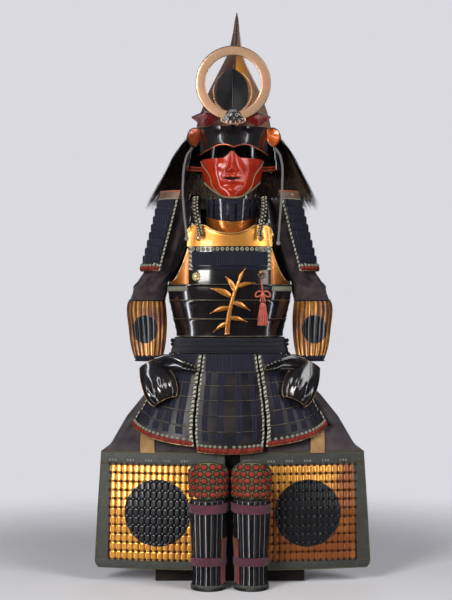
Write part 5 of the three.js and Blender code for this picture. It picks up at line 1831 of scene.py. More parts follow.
sash_crepe = woven(
    "sash_crepe", (0.005, 0.006, 0.015), (0.003, 0.0035, 0.007), 420.0, 16.0, 0.5,
    Roughness=0.7, Sheen_Weight=0.15,
)
shape = new_shape()
wound = add_sheet(shape, 200, 30, sash_place, (0.95, 0.05))
bmesh.ops.remove_doubles(shape, verts=wound, dist=1e-6)
sash = finish_piece("sash_silk", shape, sash_crepe, "navy_cloth", "sash", 2.2)
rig.sheet(sash, flat=(0.055, 0.96), held="stretched", rests_on=["front_lame_4", "back_lower"])
shape = new_shape()
for side in (1, -1):
    spot = Vector((side * 170, -36, 692)) * MM
    add_bead(shape, Matrix.Translation(spot), 13, 17, 13)
    add_bead(shape, Matrix.Translation(spot + Vector((side * 1, -3, -11)) * MM), 10, 12, 10)
finish_piece("sash_knots", shape, black_silk, "navy_cloth")

# ---------- Skirt ----------
# Seven tassets of six lacquered lames. Each lame laps over the one above and hangs from it on
# pairs of navy silk braids, close together at the head; cream and red knots edge the lowest.
SKIRT_FRONT = {
    "roundness": 2.5,
    "rows": [
        (374, 0, 0, 364, 228),
        (447, 0, 0, 326, 204),
        (530, 0, 0, 262, 176),
        (600, 0, 0, 212, 153),
        (655, 0, 0, 176, 134),
    ],
}
SKIRT_BACK = {
    "roundness": 2.2,
    "rows": [
        (380, 0, 0, 268, 212),
        (500, 0, 0, 228, 178),
        (600, 0, 0, 194, 149),
        (655, 0, 0, 176, 134),
    ],
}
TASSETS = [  # name, form, angles at the head, angles at the foot, height of the foot's corners
    ("tasset_front", SKIRT_FRONT, (-20, 20), (-10.5, 10.5), (378, 378)),
    ("tasset_front_left", SKIRT_FRONT, (-66, -21.5), (-57.5, -12.2), (447, 392)),
    ("tasset_front_right", SKIRT_FRONT, (21.5, 66), (12.2, 57.5), (392, 447)),
    ("tasset_side_left", SKIRT_BACK, (-120, -73), (-122, -82), (398, 402)),
    ("tasset_side_right", SKIRT_BACK, (73, 120), (82, 122), (402, 398)),
    ("tasset_back_left", SKIRT_BACK, (-179.3, -122), (-178.5, -125), (396, 398)),
    ("tasset_back_right", SKIRT_BACK, (122, 179.3), (125, 178.5), (398, 396)),
]
SKIRT_TOP = 654.7
LAME_LINES = (0.0, 0.216, 0.373, 0.525, 0.676, 0.81, 1.0)


def tasset_place(form, top, foot, low):
    def place(u, v, out=0.0):
        angle = mix(mix(*foot, u), mix(*top, u), v)
        lowest = mix(*low, u) - 7 * sin(pi * min(max(u, 0), 1))
        return oval_point(form, angle, mix(lowest, SKIRT_TOP, v), out)

    return place


def lame_of(place, low, high, tilt=4.0):
    """One lame of a laced panel; its head stands proud of the foot of the lame above."""
    return lambda u, v, out=0.0: place(u, mix(low, high, v), out + 0.3 + tilt * v)


def width_across(place, level):
    return route_length([place(step / 10, level) for step in range(11)]) / MM


def add_braid(shape, lame, centre, shift, width, low=0.0, high=1.0, rise=1.5):
    """A flat braid down a lame: centre is a share across, shift and width are millimetres."""
    foot_width = width_across(lame, low)
    head_width = width_across(lame, high)

    def strip(u, v):
        share = centre + (shift + (u - 0.5) * width) / mix(foot_width, head_width, v)
        return lame(share, mix(low, high, v), 0.2 + rise * cushion(u, 2.5) * cushion(v, 10))

    length = (strip(0.5, 1) - strip(0.5, 0)).length
    add_sheet(shape, 4, 6, strip, (width * MM, length))


def add_close_braids(shape, lame, margins, pitch, width, rise=1.5):
    """Flat braids side by side across a lame, between its margins."""
    span = width_across(lame, 0.5) - margins
    count = round(span / pitch)
    for braid in range(count):
        shift = (braid - (count - 1) / 2) * span / count
        add_braid(shape, lame, 0.5, shift, width, 0.0, 1.0, rise)


def add_end_braids(shape, lame, inset, width, rise):
    """A flat braid down each end of a lame."""
    for end, shift in ((0.0, inset), (1.0, -inset)):
        add_braid(shape, lame, end, shift, width, 0.03, 0.97, rise)


def add_foot_trim(shape, lame, knot_level, cross_level, pitch, margin=9):
    """Cream knots, red knots in pairs under them, and a gilt line round the foot."""
    span = width_across(lame, knot_level)
    count = max(2, int((span - 2 * margin) / pitch))
    for knot in range(count + 1):
        share = mix(margin / span, 1 - margin / span, knot / count)
        reach = 0.4 / span
        add_bead(shape, surface_frame(lame, share, knot_level, 1.4, reach), 11, 9, 5, 1)
        spot = surface_frame(lame, share, cross_level, 1.4, reach)
        lean = Matrix.Rotation(0.16 if knot % 2 else -0.10, 4, "Z")
        add_bead(shape, spot @ lean, pitch * 0.98, 14, 6, 2)
    half = 6.0 / span
    left, right = margin / span - half, 1 - margin / span + half
    band = part_of(lame, left, right, cross_level * 0.3, cross_level * 1.7, 1.4, 1.4)
    add_sheet(shape, 40, 5, band, (1, 1), 2)
    route = [lame(step / 16, 0.02, 0.6) for step in range(17)]
    add_tube(shape, route, 1.2 * MM, 40, 5, finish=3)


crimson_silk = woven("crimson_silk", (0.27, 0.030, 0.017), (0.11, 0.012, 0.009), 900.0, 60.0, Roughness=0.65)
lame_lacquer = lacquered(
    "lame_lacquer", (0.006, 0.006, 0.009), (0.030, 0.018, 0.014), 0.5, 0.30, 18.0,
    Coat_Weight=0.0, Specular_IOR_Level=0.22,
)
TRIM = [striped_braid, cream_silk, crimson_silk, gilt_rim, worn_edge]
for node, form, top, foot, low in TASSETS:
    place = tasset_place(form, top, foot, low)
    lames = [lame_of(place, a, b) for a, b in zip(LAME_LINES, LAME_LINES[1:])]
    shape = new_shape()
    for lame in lames:
        add_sheet(shape, 18, 5, lame)
    finish_piece(f"{node}_lames", shape, lame_lacquer, "black_lacquer", node, 1.6, 0.5)
    shape = new_shape()
    trim = new_shape()
    columns = (0.10, 0.37, 0.63, 0.90) if node == "tasset_front" else (0.09, 0.30, 0.50, 0.70, 0.91)
    for index, lame in enumerate(lames):
        if index == 5:
            add_close_braids(shape, lame, 26, 8.6, 8.0)
        else:
            middle_width = width_across(lame, 0.5)
            head = 1.0 if index else 0.96
            for column in columns:
                inner = 0.5 + (column - 0.5) * (middle_width - 34) / middle_width
                for shift in (-4.7, 4.7):
                    add_braid(shape, lame, inner, shift, 8.8, 0.0 if index else 0.56, head)
        add_end_braids(trim, lame, 3.8, 6.8, 1.6)
        if index:
            add_tube(trim, [lame(step / 12, 0.03, 0.1) for step in range(13)], 0.8 * MM, 24, 5, finish=4)
    add_foot_trim(trim, lames[0], 0.34, 0.16, 13.4, 6)
    finish_piece(f"{node}_lacing", shape, navy_silk, "navy_lacing")
    finish_piece(f"{node}_trim", trim, TRIM, "braid")

# ---------- Shoulder guards ----------
# A leather-covered cap plate with nine lames laced below it, curved to the upper arm and bound
# with striped braid down both ends.
SHOULDER_FOOT = 898
CAP_FROM = 1110
CAP_TO = 1134
SHOULDER_GUARD = {
    "roundness": 2.0,
    "rows": [
        (SHOULDER_FOOT, 186, 4, 80, 88),
        (1020, 154, 4, 80, 86),
        (CAP_TO, 126, 4, 80, 84),
    ],
}
SHOULDER_LAMES = 9


def shoulder_place(u, v, out=0.0):
    return oval_point(SHOULDER_GUARD, mix(14, 166, u), mix(SHOULDER_FOOT, CAP_FROM, v), out)


def cap_place(u, v, out=0.0):
    angle = mix(14, 166, u)
    return oval_point(SHOULDER_GUARD, angle, mix(CAP_FROM, CAP_TO, v), out + 1.2 + 1.5 * cushion(v))


cap_leather = leathered("cap_leather", (0.14, 0.080, 0.050), (0.62, 0.49, 0.37), 60.0, Roughness=0.5)
orange_silk = braided(
    "orange_silk", (0.50, 0.13, 0.035), (0.30, 0.06, 0.02), 0.006, 0.004, Roughness=0.65, Sheen_Weight=0.3
)
for side, name in SIDES:
    place = on_side(side, shoulder_place)
    cap = on_side(side, cap_place)
    lames = []
    for index in range(SHOULDER_LAMES):
        lames.append(lame_of(place, index / SHOULDER_LAMES, (index + 1) / SHOULDER_LAMES, 5.0))
    shape = new_shape()
    for lame in lames:
        add_sheet(shape, 30, 4, lame)
    node = f"shoulder_guard_{name}"
    finish_piece(f"shoulder_lames_{name}", shape, black_lacquer, "black_lacquer", node, 1.6, 0.4)
    shape = new_shape()
    trim = new_shape()
    for index, lame in enumerate(lames):
        if index:
            add_close_braids(shape, lame, 22, 9.2, 8.6, 1.8)
        add_end_braids(trim, lame, 3.4, 6.0, 2.0)
    add_foot_trim(trim, lames[0], 0.72, 0.36, 13.0, 12)
    finish_piece(f"shoulder_lacing_{name}", shape, navy_silk, "navy_lacing")
    finish_piece(f"shoulder_trim_{name}", trim, TRIM, "braid")
    shape = new_shape()
    add_sheet(shape, 40, 8, cap)
    finish_piece(f"shoulder_cap_{name}", shape, cap_leather, "printed_leather", (), 2.6, 0.8)
    shape = new_shape()
    add_tube(shape, [cap(step / 24, 1.0, -0.6) for step in range(25)], 2.4 * MM, 80, 7, finish=0)
    add_tube(shape, [cap(step / 24, 0.06, 0.4) for step in range(25)], 1.6 * MM, 80, 6, finish=1)
    finish_piece(f"shoulder_cords_{name}", shape, [orange_silk, cream_silk], "braid")

# ---------- Throat guard ----------
# Three lacquered lames laced in navy silk hang from the chin of the mask, over a deeper one of
# copper-coloured lacquer.
THROAT = {
    "roundness": 2.0,
    "rows": [
        (1000, 5, -20, 68, 93),
        (1040, 6, -22, 74, 102),
        (1108, 7, -26, 75, 96),
    ],
}


def throat_place(u, v, out=0.0):
    angle = mix(-80, 80, u)
    foot = 1002 + 30 * sin(radians(angle)) ** 2
    return oval_point(THROAT, angle, mix(foot, 1108, v), out)


copper_lacquer = gilded(
    "copper_lacquer", (0.74, 0.22, 0.035), (0.22, 0.035, 0.010), 11.0, 0.75,
    Metallic=0.7, Coat_Weight=0.6,
)
THROAT_LINES = (0.0, 0.36, 0.58, 0.79, 1.0)
lames = [lame_of(throat_place, a, b, 3.6) for a, b in zip(THROAT_LINES, THROAT_LINES[1:])]
shape = new_shape()
add_sheet(shape, 48, 10, lames[0], (1, 1), 1)
for lame in lames[1:]:
    add_sheet(shape, 48, 5, lame)
for lame in lames[1:]:
    add_tube(shape, [lame(step / 16, 0.03, 0.3) for step in range(17)], 1.1 * MM, 40, 6)
finish_piece(
    "throat_lames", shape, [black_lacquer, copper_lacquer], "copper_lacquer", "throat_guard", 1.6, 0.5
)
shape = new_shape()
for lame in lames[1:]:
    for column in (0.06, 0.17, 0.28, 0.39, 0.50, 0.61, 0.72, 0.83, 0.94):
        for shift in (-4.4, 4.4):
            add_braid(shape, lame, column, shift, 8.2, 0.0, 1.0, 1.4)
for step in range(11):
    add_braid(shape, lames[3], 0.38 + 0.024 * step, 0, 8.2, 0.35, 1.0, 1.4)
finish_piece("throat_lacing", shape, navy_silk, "navy_lacing")

# ---------- Mask ----------
# A half mask of red-lacquered iron that covers the nose, cheeks and chin. Its face is a plain,
# calm one. A silk piping runs round its edge, and red bands hold it at the cheeks.
MASK = [  # height, half width, front
    (1110, 46, 92), (1124, 62, 99), (1142, 75, 101), (1170, 86, 101), (1200, 92, 98),
    (1232, 93, 94),
]
MASK_FOOT = 1110
MASK_TOP = 1226
MASK_X = 7
MASK_Y = -38
MASK_SWEEP = 82
MOUTH_Z = 1166
MOUTH_HALF = 26
MASK_RELIEF = [  # rise, distance from the middle, height, reach across, reach up
    (14.0, 0, 1197, 11, 12),
    (9.0, 0, 1212, 8, 14),
    (7.0, 0, 1236, 7, 16),
    (6.5, 12, 1189, 6.5, 7.5),
    (-1.6, 0, 1175, 3, 4),
    (3.4, 9, 1173, 16, 5),
    (4.2, 0, 1158, 17, 6),
    (-2.6, 0, 1147, 24, 5),
    (5.5, 0, 1131, 20, 11),
    (5.5, 48, 1206, 21, 17),
    (-2.4, 31, 1178, 8, 15),
    (2.6, 40, 1160, 15, 17),
]


def mask_point(turn, height, out=0.0):
    """A point of the mask by its angle from the front and its height."""
    half_width, front = row_at(MASK, height)[1:]
    x = half_width * sin(radians(turn))
    relief = 0.0
    for rise, side, level, across, up in MASK_RELIEF:
        relief += rise * swell(abs(x) - side, across) * swell(height - level, up)
    under = 5.0 * swell(x, 11) * swell(height - 1182, 4)
    y = -front * cos(radians(turn)) - relief + under
    outwards = Vector((sin(radians(turn)), -cos(radians(turn)), 0))
    return (Vector((MASK_X + x, MASK_Y + y, height)) + outwards * out) * MM


def mask_edges(turn):
    """The mask's lower edge climbs to the ears; its upper edge rises over the nose."""
    side = sin(radians(turn))
    return MASK_FOOT + 46 * side**4 + 6 * side**2, MASK_TOP + 20 * swell(side * 93, 15)


def mouth_gap(turn):
    """Half the height of the open mouth at an angle."""
    side = row_at(MASK, MOUTH_Z)[1] * sin(radians(turn))
    return 4.4 * max(0, 1 - (side / MOUTH_HALF) ** 2) ** 0.8


def mask_above(u, v, out=0.0):
    turn = mix(-MASK_SWEEP, MASK_SWEEP, u)
    return mask_point(turn, mix(MOUTH_Z + mouth_gap(turn), mask_edges(turn)[1], v), out)


def mask_below(u, v, out=0.0):
    turn = mix(-MASK_SWEEP, MASK_SWEEP, u)
    return mask_point(turn, mix(mask_edges(turn)[0], MOUTH_Z - mouth_gap(turn), v), out)


mask_red = lacquered(
    "mask_red", (0.40, 0.024, 0.007), (0.17, 0.011, 0.005), 0.6, 0.11, 22.0,
    Coat_Weight=0.0, Specular_IOR_Level=0.42,
)
shape = new_shape()
upper = add_sheet(shape, 120, 44, mask_above)
lower = add_sheet(shape, 120, 30, mask_below)
bmesh.ops.remove_doubles(shape, verts=upper + lower, dist=1e-6)
finish_piece("mask_face", shape, mask_red, "red_lacquer", "mask", 2.0, 0.8)
piping_silk = braided(
    "piping_silk", (0.34, 0.30, 0.16), (0.09, 0.11, 0.055), 0.012, 0.005, Roughness=0.7, Sheen_Weight=0.3
)
shape = new_shape()
edge = [mask_below(step / 36, 0, 0.6) for step in range(37)]
add_tube(shape, edge, 2.3 * MM, 130, 7)
for side, name in SIDES:
    cheek = []
    for turn, height in ((78, 1222), (66, 1206), (52, 1186), (47, 1168), (48, 1150), (44, 1132), (36, 1119)):
        cheek.append(mask_point(side * turn, height, 1.6))
    add_tube(shape, cheek, 1.5 * MM, 60, 6)
finish_piece("mask_piping", shape, piping_silk, "braid")
red_band = woven("red_band", (0.36, 0.05, 0.02), (0.16, 0.02, 0.012), 700.0, 40.0, Roughness=0.7)
shape = new_shape()
for side, name in SIDES:
    for level in (1204, 1196):
        strap = []
        for x, y, z in ((82, -12, 0), (98, 2, 1), (116, 14, 3), (136, 22, 6)):
            strap.append(Vector((MASK_X + side * x, MASK_Y + y, level + z)) * MM)
        add_tube(shape, strap, 3.6 * MM, 16, 7)
finish_piece("mask_bands", shape, red_band, "red_lacquer")

# ---------- Helmet bowl ----------
# A tall pointed bowl of iron plates under copper and gold lacquer, with a sharp ridge up its
# front that ends in the point.
HEAD_X = 12
HEAD_Y = 5
BOWL = [  # height, middle x, half width, front, back
    (1318, 12, 113, -119, 129),
    (1345, 12, 109, -117, 133),
    (1374, 13, 101, -112, 137),
    (1410, 14, 88, -102, 142),
    (1443, 14, 76, -90, 146),
    (1487, 15, 56, -68, 149),
    (1535, 16, 34, -38, 148),
    (1574, 19, 21, -8, 140),
    (1630, 21, 11, 36, 118),
    (1672, 22, 5, 66, 92),
    (1687, 22, 0.4, 79, 81),
]


def bowl_place(u, v, out=0.0):
    """The bowl's outside, from the middle of the back right round, and up to its point."""
    height = mix(BOWL[0][0], BOWL[-1][0], v)
    x, half_width, front, back = row_at(BOWL, height)[1:]
    angle = radians(mix(-180, 180, u))
    power = 2 / (1.45 if cos(angle) > 0 else 2.1)
    side = (half_width + out) * signed_power(sin(angle), power)
    ahead = -((back - front) / 2 + out) * signed_power(cos(angle), power)
    return Vector((x + side, (back + front) / 2 + ahead, height)) * MM


bowl_lacquer, tree, shader = new_material("bowl_lacquer", Metallic=0.5, Coat_Weight=0.6)
surface = gilt_surface(tree, (0.52, 0.27, 0.15), (0.24, 0.085, 0.035), 8.0, 0.8)
apart = add_node(tree, "ShaderNodeSeparateXYZ", {0: object_place(tree)}).outputs
# Painted shade: the bowl's front left of the ridge is darkened towards near black. Painted highlight: a patch right of
# the ridge, part way up, is tinted bright orange.
painted_shade_side = sized(tree, apart["X"], 0.020, 0.008, 0.0, 0.62)
in_front = sized(tree, apart["Y"], 0.10, 0.05)
shaded = maths(tree, "MULTIPLY", painted_shade_side, in_front)
painted_highlight = in_front
for axis, low, high in (("X", 0.016, 0.022), ("X", 0.085, 0.030), ("Z", 1.35, 1.42), ("Z", 1.58, 1.50)):
    painted_highlight = maths(tree, "MULTIPLY", painted_highlight, sized(tree, apart[axis], low, high))
with_painted_highlight = tinted(tree, painted_highlight, surface["Color"], (0.95, 0.36, 0.012, 1))
bowl_tint = tinted(tree, shaded, with_painted_highlight, (0.050, 0.022, 0.016, 1))
tree.links.new(bowl_tint, shader.inputs["Base Color"])
tree.links.new(surface["Roughness"], shader.inputs["Roughness"])
bumped(tree, shader, surface["Height"], 0.3, 0.6)
shape = new_shape()
made = add_sheet(shape, 120, 110, bowl_place)
bmesh.ops.remove_doubles(shape, verts=made, dist=2e-5)
finish_piece("bowl_shell", shape, bowl_lacquer, "copper_lacquer", "helmet_bowl", 2.2)
shape = new_shape()
ridge = [bowl_place(0.5, step / 24, 1.0) for step in range(9, 25)]
add_tube(shape, ridge, lambda share: mix(2.6, 2.1, share) * MM, 60, 6)
hem = [bowl_place(step / 72, 0.004, 1.0) for step in range(72)]
add_tube(shape, hem, 2.4 * MM, 144, 6, closed=True)
finish_piece("bowl_ridge", shape, black_lacquer, "black_lacquer")

# ---------- Peak, neck guard and turnbacks ----------
# The peak is one plate riveted to the bowl, arched over each eye. The neck guard's lames hang
# behind it from silk lacing, and the ends of the top one turn out as small copper-red wings.
def peak_place(u, v, out=0.0):
    angle = radians(mix(-64, 64, u))
    side = sin(angle)
    arch = 8 * sin(pi * min(abs(side) / 0.6, 1))
    droop = 17 * max(0, (abs(side) - 0.5) / 0.4) ** 1.5
    half_width = mix(111, 115, v) + out
    half_depth = mix(158, 126, v**0.8) + out + 3.0 * sin(pi * v)
    height = mix(1256 + arch - droop, 1322, v)
    return Vector((HEAD_X + half_width * side, HEAD_Y - half_depth * cos(angle), height)) * MM


shape = new_shape()
add_sheet(shape, 72, 20, peak_place)
finish_piece("peak_plate", shape, black_lacquer, "black_lacquer", "peak", 1.8, 0.6)
shape = new_shape()
add_tube(shape, [peak_place(step / 36, 0, 0.3) for step in range(37)], 1.6 * MM, 120, 7)
red_copper = gilded(
    "red_copper", (0.74, 0.15, 0.022), (0.26, 0.030, 0.008), 16.0, 0.8, Metallic=0.6, Coat_Weight=0.7
)
finish_piece("peak_rim", shape, red_copper, "copper_lacquer")
NECK_FOOT = 1200
NECK_TOP = 1312
NECK_GUARD = {
    "roundness": 2.0,
    "rows": [
        (NECK_FOOT, 8, 14, 138, 166),
        (1260, 10, 10, 128, 146),
        (NECK_TOP, 12, 5, 117, 127),
    ],
}


def neck_place(u, v, out=0.0):
    return oval_point(NECK_GUARD, mix(72, 288, u), mix(NECK_FOOT, NECK_TOP, v), out)


shape = new_shape()
lacing = new_shape()
for index in range(4):
    lame = lame_of(neck_place, index / 4, (index + 1) / 4, 2.6)
    add_sheet(shape, 60, 4, lame)
    for column in range(12):
        for shift in (-4.6, 4.6):
            add_braid(lacing, lame, (column + 0.5) / 12, shift, 8.6, 0.0, 1.0, 1.3)
finish_piece("neck_lames", shape, black_lacquer, "black_lacquer", "neck_guard", 1.8, 0.5)
finish_piece("neck_lacing", lacing, navy_silk, "navy_lacing")


def turnback_place(u, v, out=0.0):
    """A small wing, pointed at its foot and round at its outer edge."""
    bend = radians(70 * u)
    x = HEAD_X + 98 + 42 * sin(bend)
    bulge = 5.0 * sin(pi * u) * sin(pi * v)
    y = -66 - 26 * (1 - cos(bend)) - 10 * u - bulge - out
    low = 1264 + 20 * (max(0, 0.35 - u) / 0.35) ** 1.5 + 25 * (max(0, u - 0.35) / 0.65) ** 1.8
    high = 1320 - 30 * (max(0, u - 0.2) / 0.8) ** 2.6
    return Vector((x, y, mix(low, high, v))) * MM


# The left wing takes a darker copy of the red copper: painted shade on the side that gets less light. Both wings share
# one finish.
shaded_copper = gilded(
    "shaded_copper", (0.42, 0.070, 0.014), (0.10, 0.016, 0.006), 16.0, 1.0, Metallic=0.6, Coat_Weight=0.5
)
for side, name in SIDES:
    place = on_side(side, turnback_place, HEAD_X)
    shape = new_shape()
    add_sheet(shape, 20, 14, place)
    wing_finish = red_copper if side > 0 else shaded_copper
    node = f"turnback_{name}"
    finish_piece(f"turnback_plate_{name}", shape, wing_finish, "copper_lacquer", node, 1.8, 0.5)
    shape = new_shape()
    edge = [place(step / 8, 1, 0.3) for step in range(9)]
    tip = 1 if side > 0 else 0
    down = [place(tip, 1 - step / 8, 0.3) for step in range(9)]
    under = [place(step / 8, 0, 0.3) for step in range(9)]
    for route in (edge, down, under):
        add_tube(shape, route, 1.7 * MM, 24, 6)
    finish_piece(f"turnback_rim_{name}", shape, black_lacquer, "black_lacquer")

# ---------- Hair ----------
# Long dark horse hair, sewn in locks to a band round the foot of the bowl. It covers the neck
# guard and spreads over the shoulders in uneven, thinning ends.
HAIR = {
    "roundness": 2.0,
    "rows": [
        (1078, 8, 30, 276, 222),
        (1140, 10, 24, 240, 208),
        (1190, 12, 18, 211, 198),
        (1250, 12, 12, 180, 184),
        (1300, 12, 5, 142, 152),
        (1314, 12, 5, 134, 143),
    ],
}
horse_hair, tree, shader = new_material("horse_hair", Roughness=0.42, Specular_IOR_Level=0.35)
spot = object_place(tree)
drawn_out = add_node(tree, "ShaderNodeMapping", {"Vector": spot, "Scale": (420, 420, 9)}).outputs[0]
strands = noise(tree, drawn_out, 1.0, 3.0)
hair_tint = tinted(tree, sized(tree, strands, 0.40, 0.66), (0.018, 0.012, 0.010, 1), (0.25, 0.165, 0.115, 1))
tree.links.new(hair_tint, shader.inputs["Base Color"])
bumped(tree, shader, strands, 0.8)
hair_shadow = woven("hair_shadow", (0.010, 0.008, 0.008), (0.004, 0.003, 0.003), 700.0, Roughness=0.7)
hair_seed = random.Random(11)
shape = new_shape()
add_sheet(shape, 90, 20, lambda u, v: oval_point(HAIR, mix(90, 270, u), mix(1185, 1312, v), -9))
finish_piece("hair_mass", shape, hair_shadow, "hair", "hair_fall", 1.5)


def strand_place(start, drift, top, foot, depth, width, wave):
    """One lock of hair, a tapering ribbon that follows the curtain's form."""

    def place(u, v):
        down = 1 - v
        height = mix(top, foot, down)
        taper = min(1.0, 4.0 * (1 - down)) * (0.55 + 0.45 * min(1, down * 6))
        swing = drift * down**1.4 + wave * sin(7 * down + start)
        reach = row_at(HAIR["rows"], height)[3]
        angle = start + swing + degrees((u - 0.5) * width * taper / reach)
        return oval_point(HAIR, angle, height, depth + 3.0 * down * sin(start * 1.7))

    return place


LOCKS = 2600
BATCHES = 10
HAIR_FOOT = 1077
for batch in range(BATCHES):
    shape = new_shape()
    for lock in range(LOCKS // BATCHES):
        start = mix(87, 273, hair_seed.random())
        at_edge = min(start - 86, 274 - start) / 20
        clump = 0.5 + 0.5 * sin(start * 1.9) * sin(start * 0.73 + 1.0)
        foot = HAIR_FOOT + 22 * clump + 75 * hair_seed.random() ** 2.2
        foot += max(0, 50 - 90 * at_edge) * hair_seed.random()
        top = mix(1240, 1312, hair_seed.random() ** 0.4)
        drift = hair_seed.gauss(0, 3.0)
        drift = max(86 - start, min(274 - start, drift))
        depth = mix(-13.0, -0.5, hair_seed.random())
        width = mix(1.6, 3.4, hair_seed.random())
        add_sheet(shape, 1, 7, strand_place(start, drift, top, foot, depth, width, hair_seed.gauss(0, 0.5)))
    finish_piece(f"hair_locks_{batch}", shape, horse_hair, "hair")

# ---------- Front panel and ring crest ----------
# A drop-shaped plate of black lacquer, folded down its middle and rimmed in copper, stands off
# the bowl. The ring crest, its chased mount and two lacquered leaves are fixed before it.
DROP = [  # height, half width
    (1366, 26), (1382, 38), (1404, 46), (1430, 47), (1452, 43), (1470, 34), (1484, 21), (1491, 11),
    (1494, 2),
]
DROP_X = 8


def drop_place(u, v, out=0.0, wider=0.0):
    height = mix(DROP[0][0], DROP[-1][0], v)
    side = (2 * u - 1) * (row_at(DROP, height)[1] + wider)
    ridge = row_at(BOWL, height)[3] - 11 - out
    soft = hypot(side, 2.5) - 2.5
    return Vector((DROP_X + side, ridge + soft * 0.42, height)) * MM


shape = new_shape()
add_sheet(shape, 40, 48, drop_place)
panel_lacquer = lacquered(
    "panel_lacquer", (0.004, 0.004, 0.005), (0.014, 0.010, 0.009), 0.3, 0.30, Specular_IOR_Level=0.12
)
finish_piece("drop_panel", shape, panel_lacquer, "black_lacquer", "front_panel", 1.8, 0.4)
shape = new_shape()
fold = [drop_place(0.5, step / 24, 0.4) for step in range(1, 24)]
add_tube(shape, fold, 1.3 * MM, 60, 8)
finish_piece("drop_fold", shape, black_lacquer, "black_lacquer")
pale_copper = gilded(
    "pale_copper", (0.66, 0.41, 0.25), (0.42, 0.19, 0.12), 11.0, 1.0, Metallic=0.6, Coat_Weight=0.4
)
shape = new_shape()
for u in (0, 1):
    route = []
    for step in range(23):
        stand_off = 3.5 + 5.5 * sin(pi * step / 24)
        route.append(drop_place(u, step / 24, 4.0, stand_off))
    add_tube(shape, route, lambda share: mix(4.2, 1.3, share**0.8) * MM, 70, 9)
finish_piece("drop_rims", shape, pale_copper, "pale_copper")
RING = {"x": 10, "z": 1441, "radius": 95, "half": 13}


def ring_place(u, v):
    """The flat ring: u runs round it, v round its section, which is low and round-edged."""
    turn = 2 * pi * u
    section = 2 * pi * v
    reach = RING["radius"] + RING["half"] * signed_power(cos(section), 0.5)
    face = -147.3 - 1.6 * signed_power(sin(section), 0.6)
    return Vector((RING["x"] + reach * sin(turn), face, RING["z"] + reach * cos(turn))) * MM


shape = new_shape()
made = add_sheet(shape, 144, 20, ring_place)
bmesh.ops.remove_doubles(shape, verts=made, dist=1e-6)
bmesh.ops.recalc_face_normals(shape, faces=shape.faces)
finish_piece("ring_crest", shape, pale_copper, "pale_copper", "crest_ring")
shape = new_shape()
for radius, finish in ((108.0, 1), (82.2, 0)):
    points = []
    for step in range(72):
        turn = 2 * pi * step / 72
        points.append(Vector((RING["x"] + radius * sin(turn), -147.6, RING["z"] + radius * cos(turn))) * MM)
    add_tube(shape, points, 1.2 * MM, 144, 6, closed=True, finish=finish)
finish_piece("ring_edges", shape, [ring_copper, black_lacquer], "pale_copper")
MOUNT = [  # height, left, right
    (1323, -18, 38),
    (1336, -20, 40),
    (1346, -14, 34),
    (1358, -8, 28),
    (1366, 2, 18),
]
mount_metal = lacquered(
    "mount_metal", (0.020, 0.020, 0.024), (0.08, 0.075, 0.07), 0.4, 0.25, 60.0, Metallic=0.4
)
old_silver = gilded("old_silver", (0.50, 0.49, 0.47), (0.12, 0.11, 0.10), 60.0, 0.9, Metallic=0.8)


def mount_place(u, v, out=0.0):
    height = mix(MOUNT[0][0], MOUNT[-1][0], v)
    left, right = row_at(MOUNT, height)[1:]
    chased = 0.7 * sin(5.5 * pi * u) * sin(4 * pi * v)
    return Vector((mix(left, right, u), -151.5 - 3.0 * cushion(u) - chased - out, height)) * MM


shape = new_shape()
add_sheet(shape, 44, 32, mount_place)
for curl in (-1, 1):
    for centre_x, centre_z, size in ((20, 1332, 7.5), (11, 1347, 6.5), (5, 1359, 4.5)):
        spiral = []
        for step in range(15):
            turn = 0.5 * step
            reach = size * (1 - step / 17)
            x = 10 + curl * (centre_x + reach * cos(turn))
            spiral.append(Vector((x, -156.5, centre_z + reach * sin(turn))) * MM)
        add_tube(shape, spiral, 1.2 * MM, 44, 6, finish=1)
bmesh.ops.create_cone(  # the prong that holds the mount to the bowl
    shape, cap_ends=True, segments=12, radius1=0.006, radius2=0.006, depth=0.034,
    matrix=Matrix.Translation((0.010, -0.134, 1.3275)) @ Matrix.Rotation(pi / 2, 4, "X"),
)
finish_piece("mount_scrolls", shape, [mount_metal, old_silver], "pale_copper", "crest_mount", 1.2)
shape = new_shape()
bracket = [(-17, 1336), (-23, 1338), (-25, 1331), (-18, 1327), (-9, 1324), (10, 1322)]
bracket += [(20 - x, z) for x, z in reversed(bracket[:-1])]
add_tube(shape, [Vector((x, -157, z)) * MM for x, z in bracket], 1.9 * MM, 80, 8)
for x, height in ((-9, 11), (3, 8), (17, 8), (29, 11)):
    post = [Vector((x, -157.5 - 0.12 * step, 1323.5 + height * step / 6)) * MM for step in range(7)]
    add_tube(shape, post, lambda share: mix(1.9, 1.0, share) * MM, 8, 7)
finish_piece("mount_bracket", shape, pale_copper, "pale_copper")
LEAF = [  # share along, x, top, foot, y
    (0.0, 36, 1341, 1337, -140),
    (0.35, 62, 1357, 1322, -136),
    (0.6, 80, 1358, 1318, -132),
    (1.0, 115, 1346, 1343, -119),
]


def crest_leaf_place(u, v, out=0.0):
    x, top, foot, y = row_at(LEAF, u)[1:]
    belly = 9 * sin(pi * v) * sin(pi * min(u + 0.1, 1))
    vein = 1.8 * swell(v - 0.5, 0.07) * sin(pi * min(u + 0.05, 1))
    return Vector((x + 4, y - belly - vein - out, mix(foot, top, v))) * MM


leaf_red = lacquered(
    "leaf_red", (0.115, 0.008, 0.007), (0.04, 0.004, 0.005), 0.6, 0.22, 30.0, Specular_IOR_Level=0.3
)
for side, name in SIDES:
    place = on_side(side, crest_leaf_place, 4)
    shape = new_shape()
    add_sheet(shape, 30, 18, place)
    finish_piece(f"leaf_blade_{name}", shape, leaf_red, "red_lacquer", f"leaf_{name}", 1.6, 0.5)
    shape = new_shape()
    add_tube(shape, [place(step / 20, 1, 0.2) for step in range(21)], 1.7 * MM, 50, 6)
    finish_piece(f"leaf_edge_{name}", shape, black_lacquer, "black_lacquer")

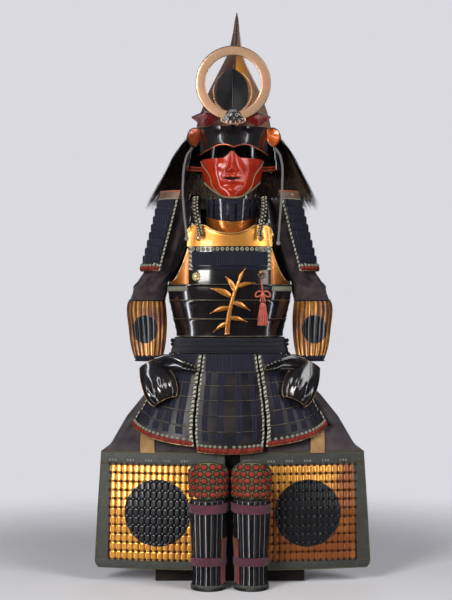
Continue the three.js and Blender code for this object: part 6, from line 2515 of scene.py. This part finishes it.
# ---------- Helmet cords ----------
# Grey-white silk cords, pulled through the inside of the helmet and left to hang free before
# the shoulders; each is knotted at its end.
HELMET_CORDS = {
    "left": [
        (-110, -58, 1262), (-117, -67, 1253), (-125, -77, 1241), (-130, -85, 1224),
        (-134, -92, 1204), (-136, -97, 1182), (-137, -100, 1160), (-138, -104, 1136),
        (-137, -108, 1111), (-135, -111, 1086), (-133, -114, 1061), (-130, -117, 1036),
        (-127, -119, 1011), (-126, -120, 997), (-126, -120, 985),
    ],
    "right": [
        (134, -58, 1262), (141, -67, 1252), (148, -76, 1239), (152, -84, 1221), (155, -90, 1201),
        (155, -96, 1176), (154, -100, 1151), (153, -104, 1126), (151, -108, 1101),
        (149, -111, 1076), (147, -114, 1051), (145, -117, 1026), (143, -119, 1001),
        (142, -120, 986), (142, -120, 972),
    ],
}
grey_silk = braided(
    "grey_silk", (0.20, 0.19, 0.195), (0.10, 0.095, 0.10), 0.022, 0.007, Roughness=0.45, Sheen_Weight=0.25
)
for name, points in HELMET_CORDS.items():
    route = [Vector(point) * MM for point in points]
    shape = new_shape()
    add_tube(shape, route, 3.5 * MM, 84, 10)
    free_cord = finish_piece(f"helmet_silk_{name}", shape, grey_silk, "grey_cord", f"helmet_cord_{name}")
    shape = new_shape()
    for turn in (0.5, -0.5):
        knot = Matrix.Translation(route[-1] + Vector((0, 0, 0.006))) @ Matrix.Rotation(turn, 4, "Y")
        add_bead(shape, knot, 13, 8, 12)
    knotted = finish_piece(f"helmet_knot_{name}", shape, grey_silk, "grey_cord")
    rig.cord(
        free_cord, exit=route[0], length=route_length(route), diameter=0.007, far_end="knot",
        stiffness="limp", lay="hanging", path=route, with_pieces=[knotted],
    )

# ---------- Sizes ----------
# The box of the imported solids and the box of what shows, for comparing the two.
shown_low, shown_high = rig.bounds()
sizes = {
    "solids": [list(solid_low), list(solid_high)],
    "shown": [list(shown_low), list(shown_high)],
}
with open("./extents.json", "w") as size_file:
    json.dump(sizes, size_file)
